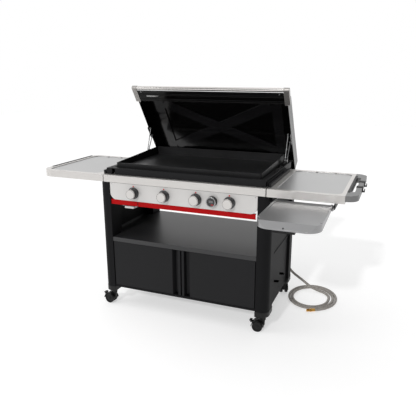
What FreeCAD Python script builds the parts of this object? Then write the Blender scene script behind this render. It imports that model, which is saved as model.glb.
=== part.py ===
import FreeCAD, Part
import math
import os

V = FreeCAD.Vector

# Outdoor gas griddle station: a four-burner flat-top griddle on a cabinet cart.
# Sizes are in millimetres. X runs to the right, Y to the rear and Z up. While the pieces are made, X = 0 is
# the cart's middle, Y = 0 the front face of the control panel and Z = 0 the ground. The last step moves
# everything so that the origin is the middle of the footprint.

# Heights that the rest follows
CONTROL_HEIGHT = 800.0
PANEL_BOTTOM = CONTROL_HEIGHT - 52.0
UPPER_RAIL_BOTTOM = CONTROL_HEIGHT + 56.0
TABLE_TOP = UPPER_RAIL_BOTTOM + 45.0
DECK_TOP = TABLE_TOP + 39.0

# Cart frame
LEG_INNER = 479.0
LEG_WIDTH = 77.0
LEG_DEPTH = 114.0
LEG_ROUND = 47.0
LEG_WALL = 1.5
LEG_TOP = UPPER_RAIL_BOTTOM
FOOT_BOTTOM = 114.0
FOOT_TOP = 146.0
FOOT_PROUD = 1.5
REAR_LEG_FRONT = 553.0
SHEET = 1.5
HAIR = 0.01
SIDE_PANEL_OUTER = LEG_INNER + 61.0
SIDE_RAIL_BOTTOM = 125.0
SIDE_RAIL_TOP = 180.0
SIDE_RAIL_DEPTH = 20.0
SIDE_FLANGE = 22.0
BEAD_HEIGHT = 461.0
BEAD_WIDTH = 16.0
BEAD_OUT = 4.5
SLOT_LENGTH = 150.0
SLOT_WIDTH = 15.0
SLOT_TILT = -23.0
SLOT_CENTRES = ((414.0, 236.0), (269.0, 242.0))
PANEL_HOLE_Y = 174.0
PANEL_HOLE_Z = 373.0
PANEL_HOLE_SPACING = 38.0
PANEL_HOLE_R = 4.0

# Cabinet
SHELF_TOP = 495.0
SHELF_EDGE = 12.0
SHELF_EDGE_INSET = 3.0
SHELF_LIP = 28.0
SHELF_FRONT = 3.0
SHELF_RETURN = 20.0
CABINET_REAR = REAR_LEG_FRONT + LEG_DEPTH - 7.0
BOTTOM_RAIL_LOW = 149.0
BOTTOM_RAIL_TOP = 163.0
BOTTOM_RAIL_DEPTH = 20.0
BOTTOM_RAIL_FRONT = 4.0
DOOR_FRONT = 4.0
DOOR_OUTER = LEG_INNER - 5.0
DOOR_INNER = 4.5
DOOR_GAP = 2.0
DOOR_RETURN = 20.0
GROOVE_START = 59.0
GROOVE_OUTER = 46.0
GROOVE_INNER = 23.0
GROOVE_DEPTH = 32.0
LIP_START = 20.0
HINGE_X = DOOR_OUTER - 7.0
HINGE_Y = 12.0
HINGE_BLOCK = 11.0
HINGE_BLOCK_HEIGHT = 24.0
HINGE_PIN_R = 3.0
HINGE_FIT = 0.06
HINGE_PIN_LENGTH = 20.0
CATCH_SIZE = (30.0, 14.0, 16.0)

# Front panels
FRONT_HALF = LEG_INNER + 43.5
UPPER_RAIL_SHELF = 60.0
PANEL_HALF = LEG_INNER - 1.0
PANEL_CORNER = 40.0
PANEL_SETBACK = 1.0
PANEL_RETURN = 20.0
KNOB_SPACING = 208.0
KNOB_R = 31.0
KNOB_SKIRT_R = 35.5
KNOB_PROTRUSION = 44.0
KNOB_GAP = 3.0
KNOB_BEZEL_R = 37.0
KNOB_BEZEL_BORE_R = 14.0
KNOB_BEZEL_THICK = 2.5
STEM_R = 4.0
STEM_FIT = 0.08
STEM_DEPTH = 18.0
STEM_HOLE_R = 7.0
HOLE_REACH = 10.0
KNOB_INSET = 1.0
KNOB_SKIRT = 5.0
KNOB_SLOPE = 8.0
KNOB_TAPER = 1.5
KNOB_CHAMFER = (4.0, 3.0)
THERMO_R = 30.0
THERMO_PROTRUSION = 27.0
THERMO_HOLE_R = 22.0
THERMO_LIP = 4.0
THERMO_FIT = 0.5
THERMO_TAIL = 12.0
FACE_POCKET = 3.0
FACE_SINK = 1.2
FACE_FIT = 0.1
RED_TOP = PANEL_BOTTOM - 1.0
RED_BOTTOM = RED_TOP - 31.5
RED_FRONT = 7.0
RED_DEPTH = 18.0
RED_LEFT = -PANEL_HALF
RED_RIGHT = PANEL_HALF - 10.0
RED_SEAM = -287.0
RED_TAB = 30.0
RED_TAB_BACK = 8.0
SEAM_GAP = 1.5

# Grease drawer
PAN_LEFT = -397.0
PAN_RIGHT = -325.0
PAN_TOP = RED_BOTTOM - 8.5
PAN_BOTTOM = PAN_TOP - 14.0
PAN_FRONT = 20.0
PAN_REAR = 330.0
PAN_FLANGE = 8.0
PAN_WALL = 1.0
PAN_CORNER = 12.0
RUNNER_HEIGHT = 14.0
RUNNER_WALL = 2.0
GUIDE_GAP = 1.0
GUIDE_WALL = 2.0
GUIDE_START = 20.0
GUIDE_HANGER = 30.0
CHUTE_X = (PAN_LEFT + PAN_RIGHT) / 2
CHUTE_Y = 150.0
CHUTE_TOP_R = 40.0
CHUTE_LOW_R = 20.0
CHUTE_BOTTOM = PAN_TOP + 18.0
CHUTE_WALL = 1.5
CUT_REACH = 5.0

# Cookbox and griddle
COOKBOX_HALF = FRONT_HALF - 8.0
COOKBOX_FRONT = 30.0
COOKBOX_REAR = 668.0
COOKBOX_WALL = 2.0
LINK_NOTCH = (22.5, 300.0, 520.0)
WELL_HALF = COOKBOX_HALF - 31.0
WELL_FRONT = 72.0
WELL_REAR = 657.0
LEDGE_TOP = TABLE_TOP - 1.0
FIREBOX_HALF = WELL_HALF - 28.5
FIREBOX_FRONT = 100.0
FIREBOX_REAR = 629.0
FIREBOX_FLOOR = CONTROL_HEIGHT - 35.0
CORNER_NOTCH = (WELL_HALF - 27.5, WELL_HALF - 5.5)
SIDE_RAILS = ((6.0, 3.0, 29.0), (14.5, 14.0, 21.0))
SIDE_RAIL_FRONT = 40.0
SIDE_RAIL_REAR = 520.0
GRIDDLE_HALF = WELL_HALF - 9.0
GRIDDLE_FRONT = WELL_FRONT + 8.0
GRIDDLE_REAR = WELL_REAR - 8.0
GRIDDLE_SURFACE = DECK_TOP - 3.0
GRIDDLE_THICK = 6.0
GRIDDLE_WALL = 3.5
GRIDDLE_FRONT_TOP = DECK_TOP + 26.0
GRIDDLE_REAR_TOP = DECK_TOP + 50.0
GRIDDLE_CORNER = 10.0
GRIDDLE_FOOT = 14.0
GREASE_SLOT = (60.0, 14.0)
REST_GAP = 0.4

# Gas parts
BURNER_R = 16.0
BURNER_WALL = 1.2
CARRIER_THICK = 2.0
NOZZLE_BACK = 12.0
NOZZLE_IN = 6.0
BURNER_FRONT = 78.0
BURNER_REAR = 600.0
BURNER_CLEAR = 0.5
MANIFOLD_R = 10.0
MANIFOLD_Y = 46.0
MANIFOLD_Z = CONTROL_HEIGHT - 24.0
MANIFOLD_HALF = 420.0
VALVE_R = 13.0
VALVE_FRONT = 26.0
SUPPLY_R = 5.0
SUPPLY_X = LEG_INNER - 13.0
SUPPLY_Y = 636.0
SUPPLY_BEND = 15.0
SUPPLY_END_Y = 652.0
INLET_Z = 240.0
INLET_SHANK_R = 7.5
INLET_HOLE_R = 8.0
INLET_NUT_R = 12.5
INLET_NUT_LENGTH = 12.0
INLET_COLLAR_R = 10.5
INLET_END_Y = 690.0
SHELF_PIPE_HOLE_R = 8.0

# Lid, drawn lying flat with its handle's middle at the origin, and then turned open. Its rim lies RIM_BELOW
# under the handle's middle, and its skin SKIN_ABOVE over it.
LID_HALF = FRONT_HALF - 1.5
LID_WALL = 1.6
LID_LENGTH = 655.0
RIM_BELOW = 13.0
SKIN_ABOVE = 75.0
FRONT_SLOPE = 87.0
LID_REAR_ROUND = 14.0
BAND_END = 96.0
BAND_RETURN = 10.0
BAND_BEADS = ((41.0, 49.0), (83.0, 91.0))
BEAD_DEPTH = 2.5
LID_OPEN_LEAN = 34.0
LID_SHUT_TILT = 2.35
HANDLE_OPEN = (428.0, DECK_TOP + 473.0)
HANDLE_SHUT = (38.0, DECK_TOP + 39.0)
HANDLE_R = 13.0
HANDLE_END_IN = 19.0
HANDLE_END_OUT = 15.0
HANDLE_END_LENGTH = 105.0
HANDLE_END_HALF = 14.0
HANDLE_LIP = 1.6
BRACE_ROOM = 8.0
BRACE_WIDTH = 72.0
BRACE_HALF = 385.0
BRACE_FROM = 175.0
BRACE_TO = 560.0
FRAME_STRIP = 66.0
FRAME_HALF = 453.0
FRAME_FROM = 112.0
FRAME_TO = 640.0

# Lid linkage: on each side a front and a rear link run from a bracket on the deck to a plate inside the lid
LINK_FRONT_AT = (336.0, 20.0)
LINK_REAR_AT = (400.0, 20.0)
LINK_FRONT_FOOT = DECK_TOP + 26.0
LINK_REAR_FOOT = DECK_TOP + 20.0
LINK_PLATE = 6.4
LINK_PLATE_REACH = 22.0
LINK_GAP = 1.5
LINK_THICK = 6.0
LINK_SPACING = 7.0
LINK_EYE_R = 10.0
LINK_PIN_R = 5.0
LINK_FIT = 0.06
LINK_HEAD_R = 7.5
CHEEK_THICK = 2.5
CHEEK_GAP = 1.0
CHEEK_MARGIN = 14.0
CHEEK_FOOT = 16.0

# Side tables
TABLE_GAP = 4.0
TABLE_SEAM = FRONT_HALF + TABLE_GAP
TABLE_SKIRT = TABLE_TOP - UPPER_RAIL_BOTTOM
TABLE_WALL = 1.5
TABLE_REAR = 606.0
TABLE_RECESS = 4.0
TABLE_CORNER = 3.0
RECESS_INNER = TABLE_SEAM + 46.5
RECESS_FRONT = 26.0
RECESS_REAR = TABLE_REAR - 28.0
RECESS_CORNER = 40.0
LEFT_OUTER = 1000.0
LEFT_CORNER = 70.0
LEFT_RECESS_OUTER = LEFT_OUTER - 38.0
LEFT_STRIP = (17.0, 2.0, 105.0, 560.0)
BAR_OUTER = 1013.0
RIGHT_OUTER = BAR_OUTER - 65.0
RIGHT_RECESS_OUTER = RIGHT_OUTER - 22.0
BAR_WIDTH = 28.0
BAR_CORNER = 63.0
BAR_THICK = 32.0
BAR_OPENING = (14.0, 37.0, 105.0, 490.0)
RIGHT_STRIP = (0.0, 14.0, 90.0, 535.0)
STRIP_TOP = TABLE_TOP + 2.0
TABLE_NOTCHES = ((-1, 5.0), (-1, TABLE_REAR - 16.0), (1, TABLE_REAR - 16.0))
OPENING_CORNER = 10.0
NOTCH_SIZE = (48.0, 7.0)
NOTCH_OUT = 310.0
HOOK_CENTRES = (240.0, 382.0)
HOOK_WIDTH = 28.0
HOOK_WALL = 4.0
HOOK_DROP = 26.0
HOOK_REACH = 14.0
HOOK_TIP = 16.0

# Pull-out tray under the right table
TRAY_LEFT = TABLE_SEAM + 46.5
TRAY_RIGHT = RIGHT_OUTER - 60.0
TRAY_TOP = TABLE_TOP - 61.0
TRAY_BOTTOM = TRAY_TOP - 35.0
TRAY_FRONT = -370.0
TRAY_LIP = -400.0
TRAY_REAR = 20.0
TRAY_CORNER = 72.0
TRAY_SIDE = 10.0
TRAY_LIP_HEIGHT = 6.0
TRAY_WALL = 2.0
TRAY_BORDER = 12.0
TRAY_BORDER_HEIGHT = 3.0
GRIP_X = (TRAY_LEFT + 92.0, TRAY_LEFT + 200.0)
GRIP_DROP = 12.0
GRIP_DEPTH = 26.0
TRAY_HOLE_X = TRAY_LEFT + 143.0
TRAY_HOLE_R = 4.0
TRAY_HOLE_Z = TRAY_TOP - 24.0
GRIP_WALL = 3.0
RUNNER_REAR = 170.0
RUNNER_THICK = 4.0
RUNNER_LOW = TRAY_TOP - 16.0
RUNNER_TOP = TRAY_TOP - 6.0
SLIDE_GAP = 0.6
SLIDE_DEPTH = 12.0
SLIDE_WALL = 2.5

# Casters
CASTER_X = LEG_INNER + 41.0
CASTER_FRONT_Y = 57.0
CASTER_REAR_Y = 608.0
WHEEL_R = 32.5
WHEEL_WIDTH = 18.0
WHEEL_GAP = 1.0
FORK_WEB = 16.0
HOOD_R = 36.5
HOOD_WALL = 2.5
CASTER_TRAIL = 34.0
CASTER_STEM_R = 6.0
CASTER_FIT = 0.06
CASTER_STEM_LENGTH = 26.0
CASTER_NECK_R = 15.0
CASTER_TOP_GAP = 1.0
AXLE_R = 4.0
AXLE_FIT = 0.06
HEADINGS = {"front_left": 176.0, "front_right": 184.0, "rear_left": 96.0, "rear_right": 112.0}
LEVER_WIDTH = 28.0
LEVER_PIN_R = 2.5
LEVER_FIT = 0.06
LEVER_LENGTH = 10.0
LEVER_CLEAR = 8.0
LEVER_ANGLE = 31.0
LUG_R = 4.5
LEVER_CHEEK = 4.0
LEVER_THICK = 4.0
BODY_REACH = 9.0
LUG_STEP = 1.0
BODY_FOOT = 9.0
BODY_BACK = (6.0, 12.0)
BODY_NOSE = (HOOD_R + 1.0, 10.0)
BODY_SHOULDER = (24.0, 30.0)
BODY_TOP_HALF = 12.0
BODY_TOP_DROP = 26.0
NECK_LENGTH = 34.0
BORE_HALF = 60.0
TYRE_ROUND = 3.0
TYRE_WALL = 8.0
HUB_R = 9.0
DISH_DEPTH = 3.0
PLATE_BACK = 1.0

# Hose on the ground
HOSE_R = 9.0
HOSE_CENTRE_Z = 9.2
HOSE_ROUTE = (
    (466.0, 690.0, 240.0),
    (466.0, 724.0, 240.0),
    (471.0, 754.0, 224.0),
    (481.0, 771.0, 196.0),
    (499.0, 777.0, 158.0),
    (528.0, 768.0, 118.0),
    (570.0, 755.0, 93.0),
    (616.0, 745.0, 70.0),
    (658.0, 736.0, 45.0),
    (700.0, 731.0, 22.0),
    (745.0, 727.0, 9.8),
    (779.0, 716.0, 9.2),
    (804.0, 693.0, 9.2),
)
COIL_CENTRE = (715.0, 612.0)
COIL_INNER = (124.0, 149.0)
COIL_PITCH = 20.5
COIL_TURNS = 2.2
COIL_START = 6.0
COIL_APPROACH = 22.0
COIL_LEAD_IN = 9.0
COIL_LEAD_TURNS = 0.3
FITTING_PARTS = ((22.0, 9.1), (14.0, 8.9), (20.0, 7.6))

nodes = {}


def box(x0, x1, y0, y1, z0, z1):
    low = V(min(x0, x1), min(y0, y1), min(z0, z1))
    return Part.makeBox(abs(x1 - x0), abs(y1 - y0), abs(z1 - z0), low)


def rod(radius, start, end):
    start = V(*start)
    along = V(*end) - start
    return Part.makeCylinder(radius, along.Length, start, along)


def cone(radius_start, radius_end, start, end):
    start = V(*start)
    along = V(*end) - start
    return Part.makeCone(radius_start, radius_end, along.Length, start, along)


def mirrored(shape):
    return shape.mirror(V(0, 0, 0), V(1, 0, 0))


def both_sides(shape):
    return [shape, mirrored(shape)]


def joined(*shapes):
    first, rest = shapes[0], list(shapes[1:])
    if not rest:
        return first
    return first.fuse(rest).removeSplitter()


def without(shape, *tools):
    return shape.cut(list(tools))


def place(axis, a, b, c):
    """Point with a and b in the plane square to the axis, and c along it."""
    if axis == "x":
        return V(c, a, b)
    if axis == "y":
        return V(a, c, b)
    return V(a, b, c)


def outline_edges(points, radii):
    """Closed outline through 2-D points, with a tangent arc of the given radius at each corner."""
    count = len(points)
    corners = []
    for i in range(count):
        here = V(points[i][0], points[i][1], 0)
        before = V(points[i - 1][0], points[i - 1][1], 0)
        after = V(points[(i + 1) % count][0], points[(i + 1) % count][1], 0)
        to_before = (before - here).normalize()
        to_after = (after - here).normalize()
        radius = radii[i]
        if radius <= 0:
            corners.append((here, None, here))
            continue
        half = to_before.getAngle(to_after) / 2
        reach = radius / math.tan(half)
        middle = here + (to_before + to_after).normalize() * (radius / math.sin(half) - radius)
        corners.append((here + to_before * reach, middle, here + to_after * reach))
    return corners


def face_of(points, radii, axis, at):
    if isinstance(radii, (int, float)):
        radii = [radii] * len(points)
    corners = outline_edges(points, radii)
    edges = []
    for i, (start, middle, end) in enumerate(corners):
        if middle is not None:
            arc = [place(axis, p.x, p.y, at) for p in (start, middle, end)]
            edges.append(Part.Arc(*arc).toShape())
        following = corners[(i + 1) % len(corners)][0]
        if (following - end).Length > 1e-6:
            ends = [place(axis, p.x, p.y, at) for p in (end, following)]
            edges.append(Part.makeLine(*ends))
    return Part.Face(Part.Wire(edges))


def prism(points, axis, low, high, radii=0.0):
    """Solid with the outline given in the plane square to the axis, from low to high along it."""
    face = face_of(points, radii, axis, low)
    return face.extrude(place(axis, 0, 0, high - low))


def rectangle(a0, a1, b0, b1):
    return [(a0, b0), (a1, b0), (a1, b1), (a0, b1)]


def sheet(points, thickness, axis, low, high, bend=0.0):
    """Bent sheet: the open line of points is one face, and the sheet lies to the left of its direction."""
    count = len(points)
    shifted = []
    turns = []
    for i in range(count):
        here = V(points[i][0], points[i][1], 0)
        directions = []
        if i > 0:
            directions.append((here - V(points[i - 1][0], points[i - 1][1], 0)).normalize())
        if i < count - 1:
            directions.append((V(points[i + 1][0], points[i + 1][1], 0) - here).normalize())
        normals = [V(-d.y, d.x, 0) for d in directions]
        if len(normals) == 1:
            shifted.append(here + normals[0] * thickness)
            turns.append(0)
            continue
        bisector = (normals[0] + normals[1]).normalize()
        shifted.append(here + bisector * (thickness / bisector.dot(normals[0])))
        turns.append(directions[0].cross(directions[1]).z)
    radii = [0 if turn == 0 else bend + (thickness if turn < 0 else 0) for turn in turns]
    other = [0 if turn == 0 else bend + (thickness if turn > 0 else 0) for turn in turns]
    outline = list(points) + [(p.x, p.y) for p in reversed(shifted)]
    if bend > 0:
        return prism(outline, axis, low, high, other + list(reversed(radii)))
    return prism(outline, axis, low, high)


def smooth_path(points, radii):
    """Wire of straight runs with a tangent arc at each inner point."""
    points = [V(*p) for p in points]
    edges = []
    last = points[0]
    for i in range(1, len(points) - 1):
        to_before = (points[i - 1] - points[i]).normalize()
        to_after = (points[i + 1] - points[i]).normalize()
        half = to_before.getAngle(to_after) / 2
        reach = radii[i - 1] / math.tan(half)
        bulge = radii[i - 1] / math.sin(half) - radii[i - 1]
        start = points[i] + to_before * reach
        end = points[i] + to_after * reach
        middle = points[i] + (to_before + to_after).normalize() * bulge
        if (start - last).Length > 1e-6:
            edges.append(Part.LineSegment(last, start).toShape())
        edges.append(Part.Arc(start, middle, end).toShape())
        last = end
    edges.append(Part.LineSegment(last, points[-1]).toShape())
    return Part.Wire(edges)


def pipe(wire, radius):
    first = wire.OrderedEdges[0]
    start = first.valueAt(first.FirstParameter)
    along = first.tangentAt(first.FirstParameter)
    if (wire.OrderedVertexes[0].Point - start).Length > 1e-6:
        start = first.valueAt(first.LastParameter)
        along = first.tangentAt(first.LastParameter) * -1
    profile = Part.Wire(Part.makeCircle(radius, start, along))
    return wire.makePipeShell([profile], True, False)


def save(name, *shapes):
    nodes[name] = list(shapes)


def leg_section(front, rear, grow, low, high):
    """Hollow leg outline with its outer front corner rounded, for the left or right side alike."""
    near, far = (front, rear) if rear > front else (front, rear)
    step = 1 if rear > front else -1
    outer = LEG_INNER + LEG_WIDTH
    points = [
        (LEG_INNER - grow, near - step * grow),
        (outer + grow, near - step * grow),
        (outer + grow, far + step * grow),
        (LEG_INNER - grow, far + step * grow),
    ]
    return prism(points, "z", low, high, [2, LEG_ROUND + grow, 2, 2])


def legs():
    rear_far = REAR_LEG_FRONT + LEG_DEPTH - 2
    tubes = []
    for front, rear in ((0.0, LEG_DEPTH), (rear_far, REAR_LEG_FRONT)):
        tube = without(
            leg_section(front, rear, 0, FOOT_TOP, LEG_TOP),
            leg_section(front, rear, -LEG_WALL, FOOT_TOP, LEG_TOP),
        )
        tubes += both_sides(tube)
    save("legs", *tubes)
    caps = []
    ends = ((0.0, LEG_DEPTH, CASTER_FRONT_Y), (rear_far, REAR_LEG_FRONT, CASTER_REAR_Y))
    for front, rear, swivel_y in ends:
        cap = leg_section(front, rear, FOOT_PROUD, FOOT_BOTTOM, FOOT_TOP)
        low, high = (CASTER_X, swivel_y, FOOT_BOTTOM), (CASTER_X, swivel_y, FOOT_TOP)
        bore = rod(CASTER_STEM_R + CASTER_FIT, low, high)
        caps += both_sides(without(cap, bore))
    save("foot_caps", *caps)


def side_panels():
    inner = SIDE_PANEL_OUTER - SIDE_FLANGE
    out = SIDE_PANEL_OUTER
    profile = [
        (inner, SIDE_RAIL_TOP),
        (out, SIDE_RAIL_TOP),
        (out, BEAD_HEIGHT - BEAD_WIDTH / 2),
        (out + BEAD_OUT, BEAD_HEIGHT - BEAD_WIDTH / 4),
        (out + BEAD_OUT, BEAD_HEIGHT + BEAD_WIDTH / 4),
        (out, BEAD_HEIGHT + BEAD_WIDTH / 2),
        (out, LEG_TOP),
        (inner, LEG_TOP),
    ]
    panel = sheet(profile, SHEET, "y", LEG_DEPTH, REAR_LEG_FRONT)
    cuts = []
    for z in (PANEL_HOLE_Z - PANEL_HOLE_SPACING / 2, PANEL_HOLE_Z + PANEL_HOLE_SPACING / 2):
        start = (out - SIDE_FLANGE / 2, PANEL_HOLE_Y, z)
        cuts.append(rod(PANEL_HOLE_R, start, (out + SIDE_FLANGE, PANEL_HOLE_Y, z)))
    for y, z in SLOT_CENTRES:
        half = SLOT_LENGTH / 2
        points = rectangle(y - half, y + half, z - SLOT_WIDTH / 2, z + SLOT_WIDTH / 2)
        slot = prism(points, "x", out - SIDE_FLANGE / 2, out + SIDE_FLANGE, SLOT_WIDTH / 2 - HAIR)
        slot.rotate(V(out, y, z), V(1, 0, 0), SLOT_TILT)
        cuts.append(slot)
    panel = without(panel, *cuts)
    save("side_panels", *both_sides(panel))


def hollow_bar(x0, x1, y0, y1, z0, z1, along):
    outer = box(x0, x1, y0, y1, z0, z1)
    t = SHEET
    if along == "x":
        return without(outer, box(x0, x1, y0 + t, y1 - t, z0 + t, z1 - t))
    return without(outer, box(x0 + t, x1 - t, y0, y1, z0 + t, z1 - t))


def bottom_rails():
    bars = []
    for y in (BOTTOM_RAIL_FRONT, CABINET_REAR - BOTTOM_RAIL_DEPTH):
        far = y + BOTTOM_RAIL_DEPTH
        bars.append(hollow_bar(-LEG_INNER, LEG_INNER, y, far, BOTTOM_RAIL_LOW, BOTTOM_RAIL_TOP, "x"))
    front, rear = bars
    side = hollow_bar(
        SIDE_PANEL_OUTER - SIDE_RAIL_DEPTH,
        SIDE_PANEL_OUTER,
        LEG_DEPTH + FOOT_PROUD,
        REAR_LEG_FRONT - FOOT_PROUD,
        SIDE_RAIL_BOTTOM,
        SIDE_RAIL_TOP,
        "y",
    )
    save("bottom_rails", front, rear, *both_sides(side))


def cabinet():
    floor_low = BOTTOM_RAIL_LOW
    floor_top = floor_low + SHEET
    between = BOTTOM_RAIL_FRONT + BOTTOM_RAIL_DEPTH
    floor = joined(
        box(-LEG_INNER, LEG_INNER, between, CABINET_REAR - BOTTOM_RAIL_DEPTH, floor_low, floor_top),
        box(
            SIDE_RAIL_DEPTH - SIDE_PANEL_OUTER,
            SIDE_PANEL_OUTER - SIDE_RAIL_DEPTH,
            LEG_DEPTH,
            REAR_LEG_FRONT,
            floor_low,
            floor_top,
        ),
    )
    lip_low = SHELF_TOP - SHELF_LIP
    profile = [
        (SHELF_FRONT + SHELF_RETURN, lip_low),
        (SHELF_FRONT, lip_low),
        (SHELF_FRONT, SHELF_TOP),
        (CABINET_REAR, SHELF_TOP),
        (CABINET_REAR, lip_low),
    ]
    reversed_profile = list(reversed(profile))
    pan = sheet(reversed_profile, SHEET, "x", -LEG_INNER, LEG_INNER)
    out = SIDE_PANEL_OUTER - SHEET
    low = SHELF_TOP - SHEET
    wings = box(-out, out, LEG_DEPTH, REAR_LEG_FRONT, low, SHELF_TOP)
    edge = out - SHELF_EDGE_INSET
    edges = both_sides(box(edge - SHEET, edge, LEG_DEPTH, REAR_LEG_FRONT, low, SHELF_TOP + SHELF_EDGE))
    hole = rod(SHELF_PIPE_HOLE_R, (SUPPLY_X, SUPPLY_Y, lip_low), (SUPPLY_X, SUPPLY_Y, SHELF_TOP + SHELF_LIP))
    save("shelf", without(joined(pan, wings, *edges), hole))

    back = box(-LEG_INNER, LEG_INNER, CABINET_REAR - SHEET, CABINET_REAR, BOTTOM_RAIL_TOP, lip_low)
    near, far = CABINET_REAR - HOLE_REACH, CABINET_REAR + HOLE_REACH
    inlet_hole = rod(INLET_HOLE_R, (SUPPLY_X, near, INLET_Z), (SUPPLY_X, far, INLET_Z))
    save("cabinet_floor_and_back", floor, without(back, inlet_hole))


def door():
    """Right-hand door, shut."""
    low = BOTTOM_RAIL_TOP + DOOR_GAP
    high = SHELF_TOP - SHELF_LIP - DOOR_GAP
    front = DOOR_FRONT
    floor = front + GROOVE_DEPTH
    profile = [
        (DOOR_OUTER, front + DOOR_RETURN),
        (DOOR_OUTER, front),
        (GROOVE_START, front),
        (GROOVE_OUTER, floor),
        (GROOVE_INNER, floor),
        (LIP_START, front),
        (DOOR_INNER, front),
        (DOOR_INNER, front + DOOR_RETURN),
    ]
    skin = sheet(list(reversed(profile)), SHEET, "z", low, high)
    ends = []
    for z in (low, high - SHEET):
        ends.append(box(GROOVE_START, DOOR_OUTER - SHEET, front + SHEET, front + DOOR_RETURN, z, z + SHEET))
    half = HINGE_BLOCK / 2
    blocks = []
    bores = []
    for z0 in (low, high - HINGE_BLOCK_HEIGHT):
        z1 = z0 + HINGE_BLOCK_HEIGHT
        blocks.append(box(HINGE_X - half, DOOR_OUTER - SHEET, front + SHEET, HINGE_Y + half, z0, z1))
        bores.append(rod(HINGE_PIN_R + HINGE_FIT, (HINGE_X, HINGE_Y, z0 - 1), (HINGE_X, HINGE_Y, z1 + 1)))
    return without(joined(skin, *ends, *blocks), *bores)


def doors():
    right = door()
    save("right_door", right)
    save("left_door", mirrored(right))
    lip_low = SHELF_TOP - SHELF_LIP
    reach = DOOR_GAP + HINGE_PIN_LENGTH
    low_end = BOTTOM_RAIL_TOP + reach
    low_pin = rod(HINGE_PIN_R, (HINGE_X, HINGE_Y, BOTTOM_RAIL_TOP), (HINGE_X, HINGE_Y, low_end))
    high_pin = rod(HINGE_PIN_R, (HINGE_X, HINGE_Y, lip_low - reach), (HINGE_X, HINGE_Y, lip_low))
    save("door_hinge_pins", *both_sides(low_pin), *both_sides(high_pin))
    width, depth, height = CATCH_SIZE
    front = DOOR_FRONT + GROOVE_DEPTH + SHEET + 2
    top = SHELF_TOP - SHEET
    catch = box(GROOVE_INNER - 2, GROOVE_INNER - 2 + width, front, front + depth, top - height, top)
    save("door_catches", *both_sides(catch))


def front_panels():
    rail_profile = [
        (COOKBOX_FRONT, UPPER_RAIL_BOTTOM),
        (0.0, UPPER_RAIL_BOTTOM),
        (0.0, TABLE_TOP),
        (UPPER_RAIL_SHELF, TABLE_TOP),
    ]
    save("upper_rail", sheet(list(reversed(rail_profile)), SHEET, "x", -FRONT_HALF, FRONT_HALF))

    outline = rectangle(-PANEL_HALF, PANEL_HALF, PANEL_BOTTOM, UPPER_RAIL_BOTTOM)
    inner_half = PANEL_HALF - SHEET
    inside = rectangle(-inner_half, inner_half, PANEL_BOTTOM + SHEET, UPPER_RAIL_BOTTOM + SHEET)
    corners = [PANEL_CORNER, PANEL_CORNER, 0, 0]
    inner_corners = [PANEL_CORNER - SHEET, PANEL_CORNER - SHEET, 0, 0]
    back = PANEL_SETBACK + SHEET + PANEL_RETURN
    shell = prism(outline, "y", PANEL_SETBACK, back, corners)
    hollow = prism(inside, "y", PANEL_SETBACK + SHEET, back, inner_corners)
    holes = []
    hole_places = [(x, STEM_HOLE_R) for x in knob_places()] + [(KNOB_SPACING, THERMO_HOLE_R)]
    for x, radius in hole_places:
        holes.append(rod(radius, (x, -HOLE_REACH, CONTROL_HEIGHT), (x, HOLE_REACH, CONTROL_HEIGHT)))
    save("control_panel", without(shell, hollow, *holes))

    red_profile = [
        (RED_FRONT + RED_DEPTH, RED_BOTTOM),
        (RED_FRONT, RED_BOTTOM),
        (RED_FRONT, RED_TOP),
        (RED_FRONT + RED_DEPTH, RED_TOP),
    ]
    red_profile.reverse()
    rail = sheet(red_profile, SHEET, "x", RED_SEAM + SEAM_GAP / 2, RED_RIGHT)
    tabs = []
    near, far = PANEL_SETBACK + SHEET + RED_TAB_BACK, PANEL_SETBACK + PANEL_RETURN
    for x in (RED_SEAM + 2 * RED_TAB, RED_RIGHT - RED_TAB):
        tabs.append(box(x, x + RED_TAB, near, far, RED_TOP, PANEL_BOTTOM))
    save("red_rail", joined(rail, *tabs))
    save("drawer_front", sheet(red_profile, SHEET, "x", RED_LEFT, RED_SEAM - SEAM_GAP / 2))


def knob_places():
    return [KNOB_SPACING * step for step in (-1.5, -0.5, 0.5, 1.5)]


def revolved(profile, x, z):
    """Solid of revolution about the line along Y through x, z. The profile is pairs of radius and Y."""
    points = [V(x + r, y, z) for r, y in profile]
    wire = Part.makePolygon(points + [points[0]])
    return Part.Face(wire).revolve(V(x, 0, z), V(0, 1, 0), 360)


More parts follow.
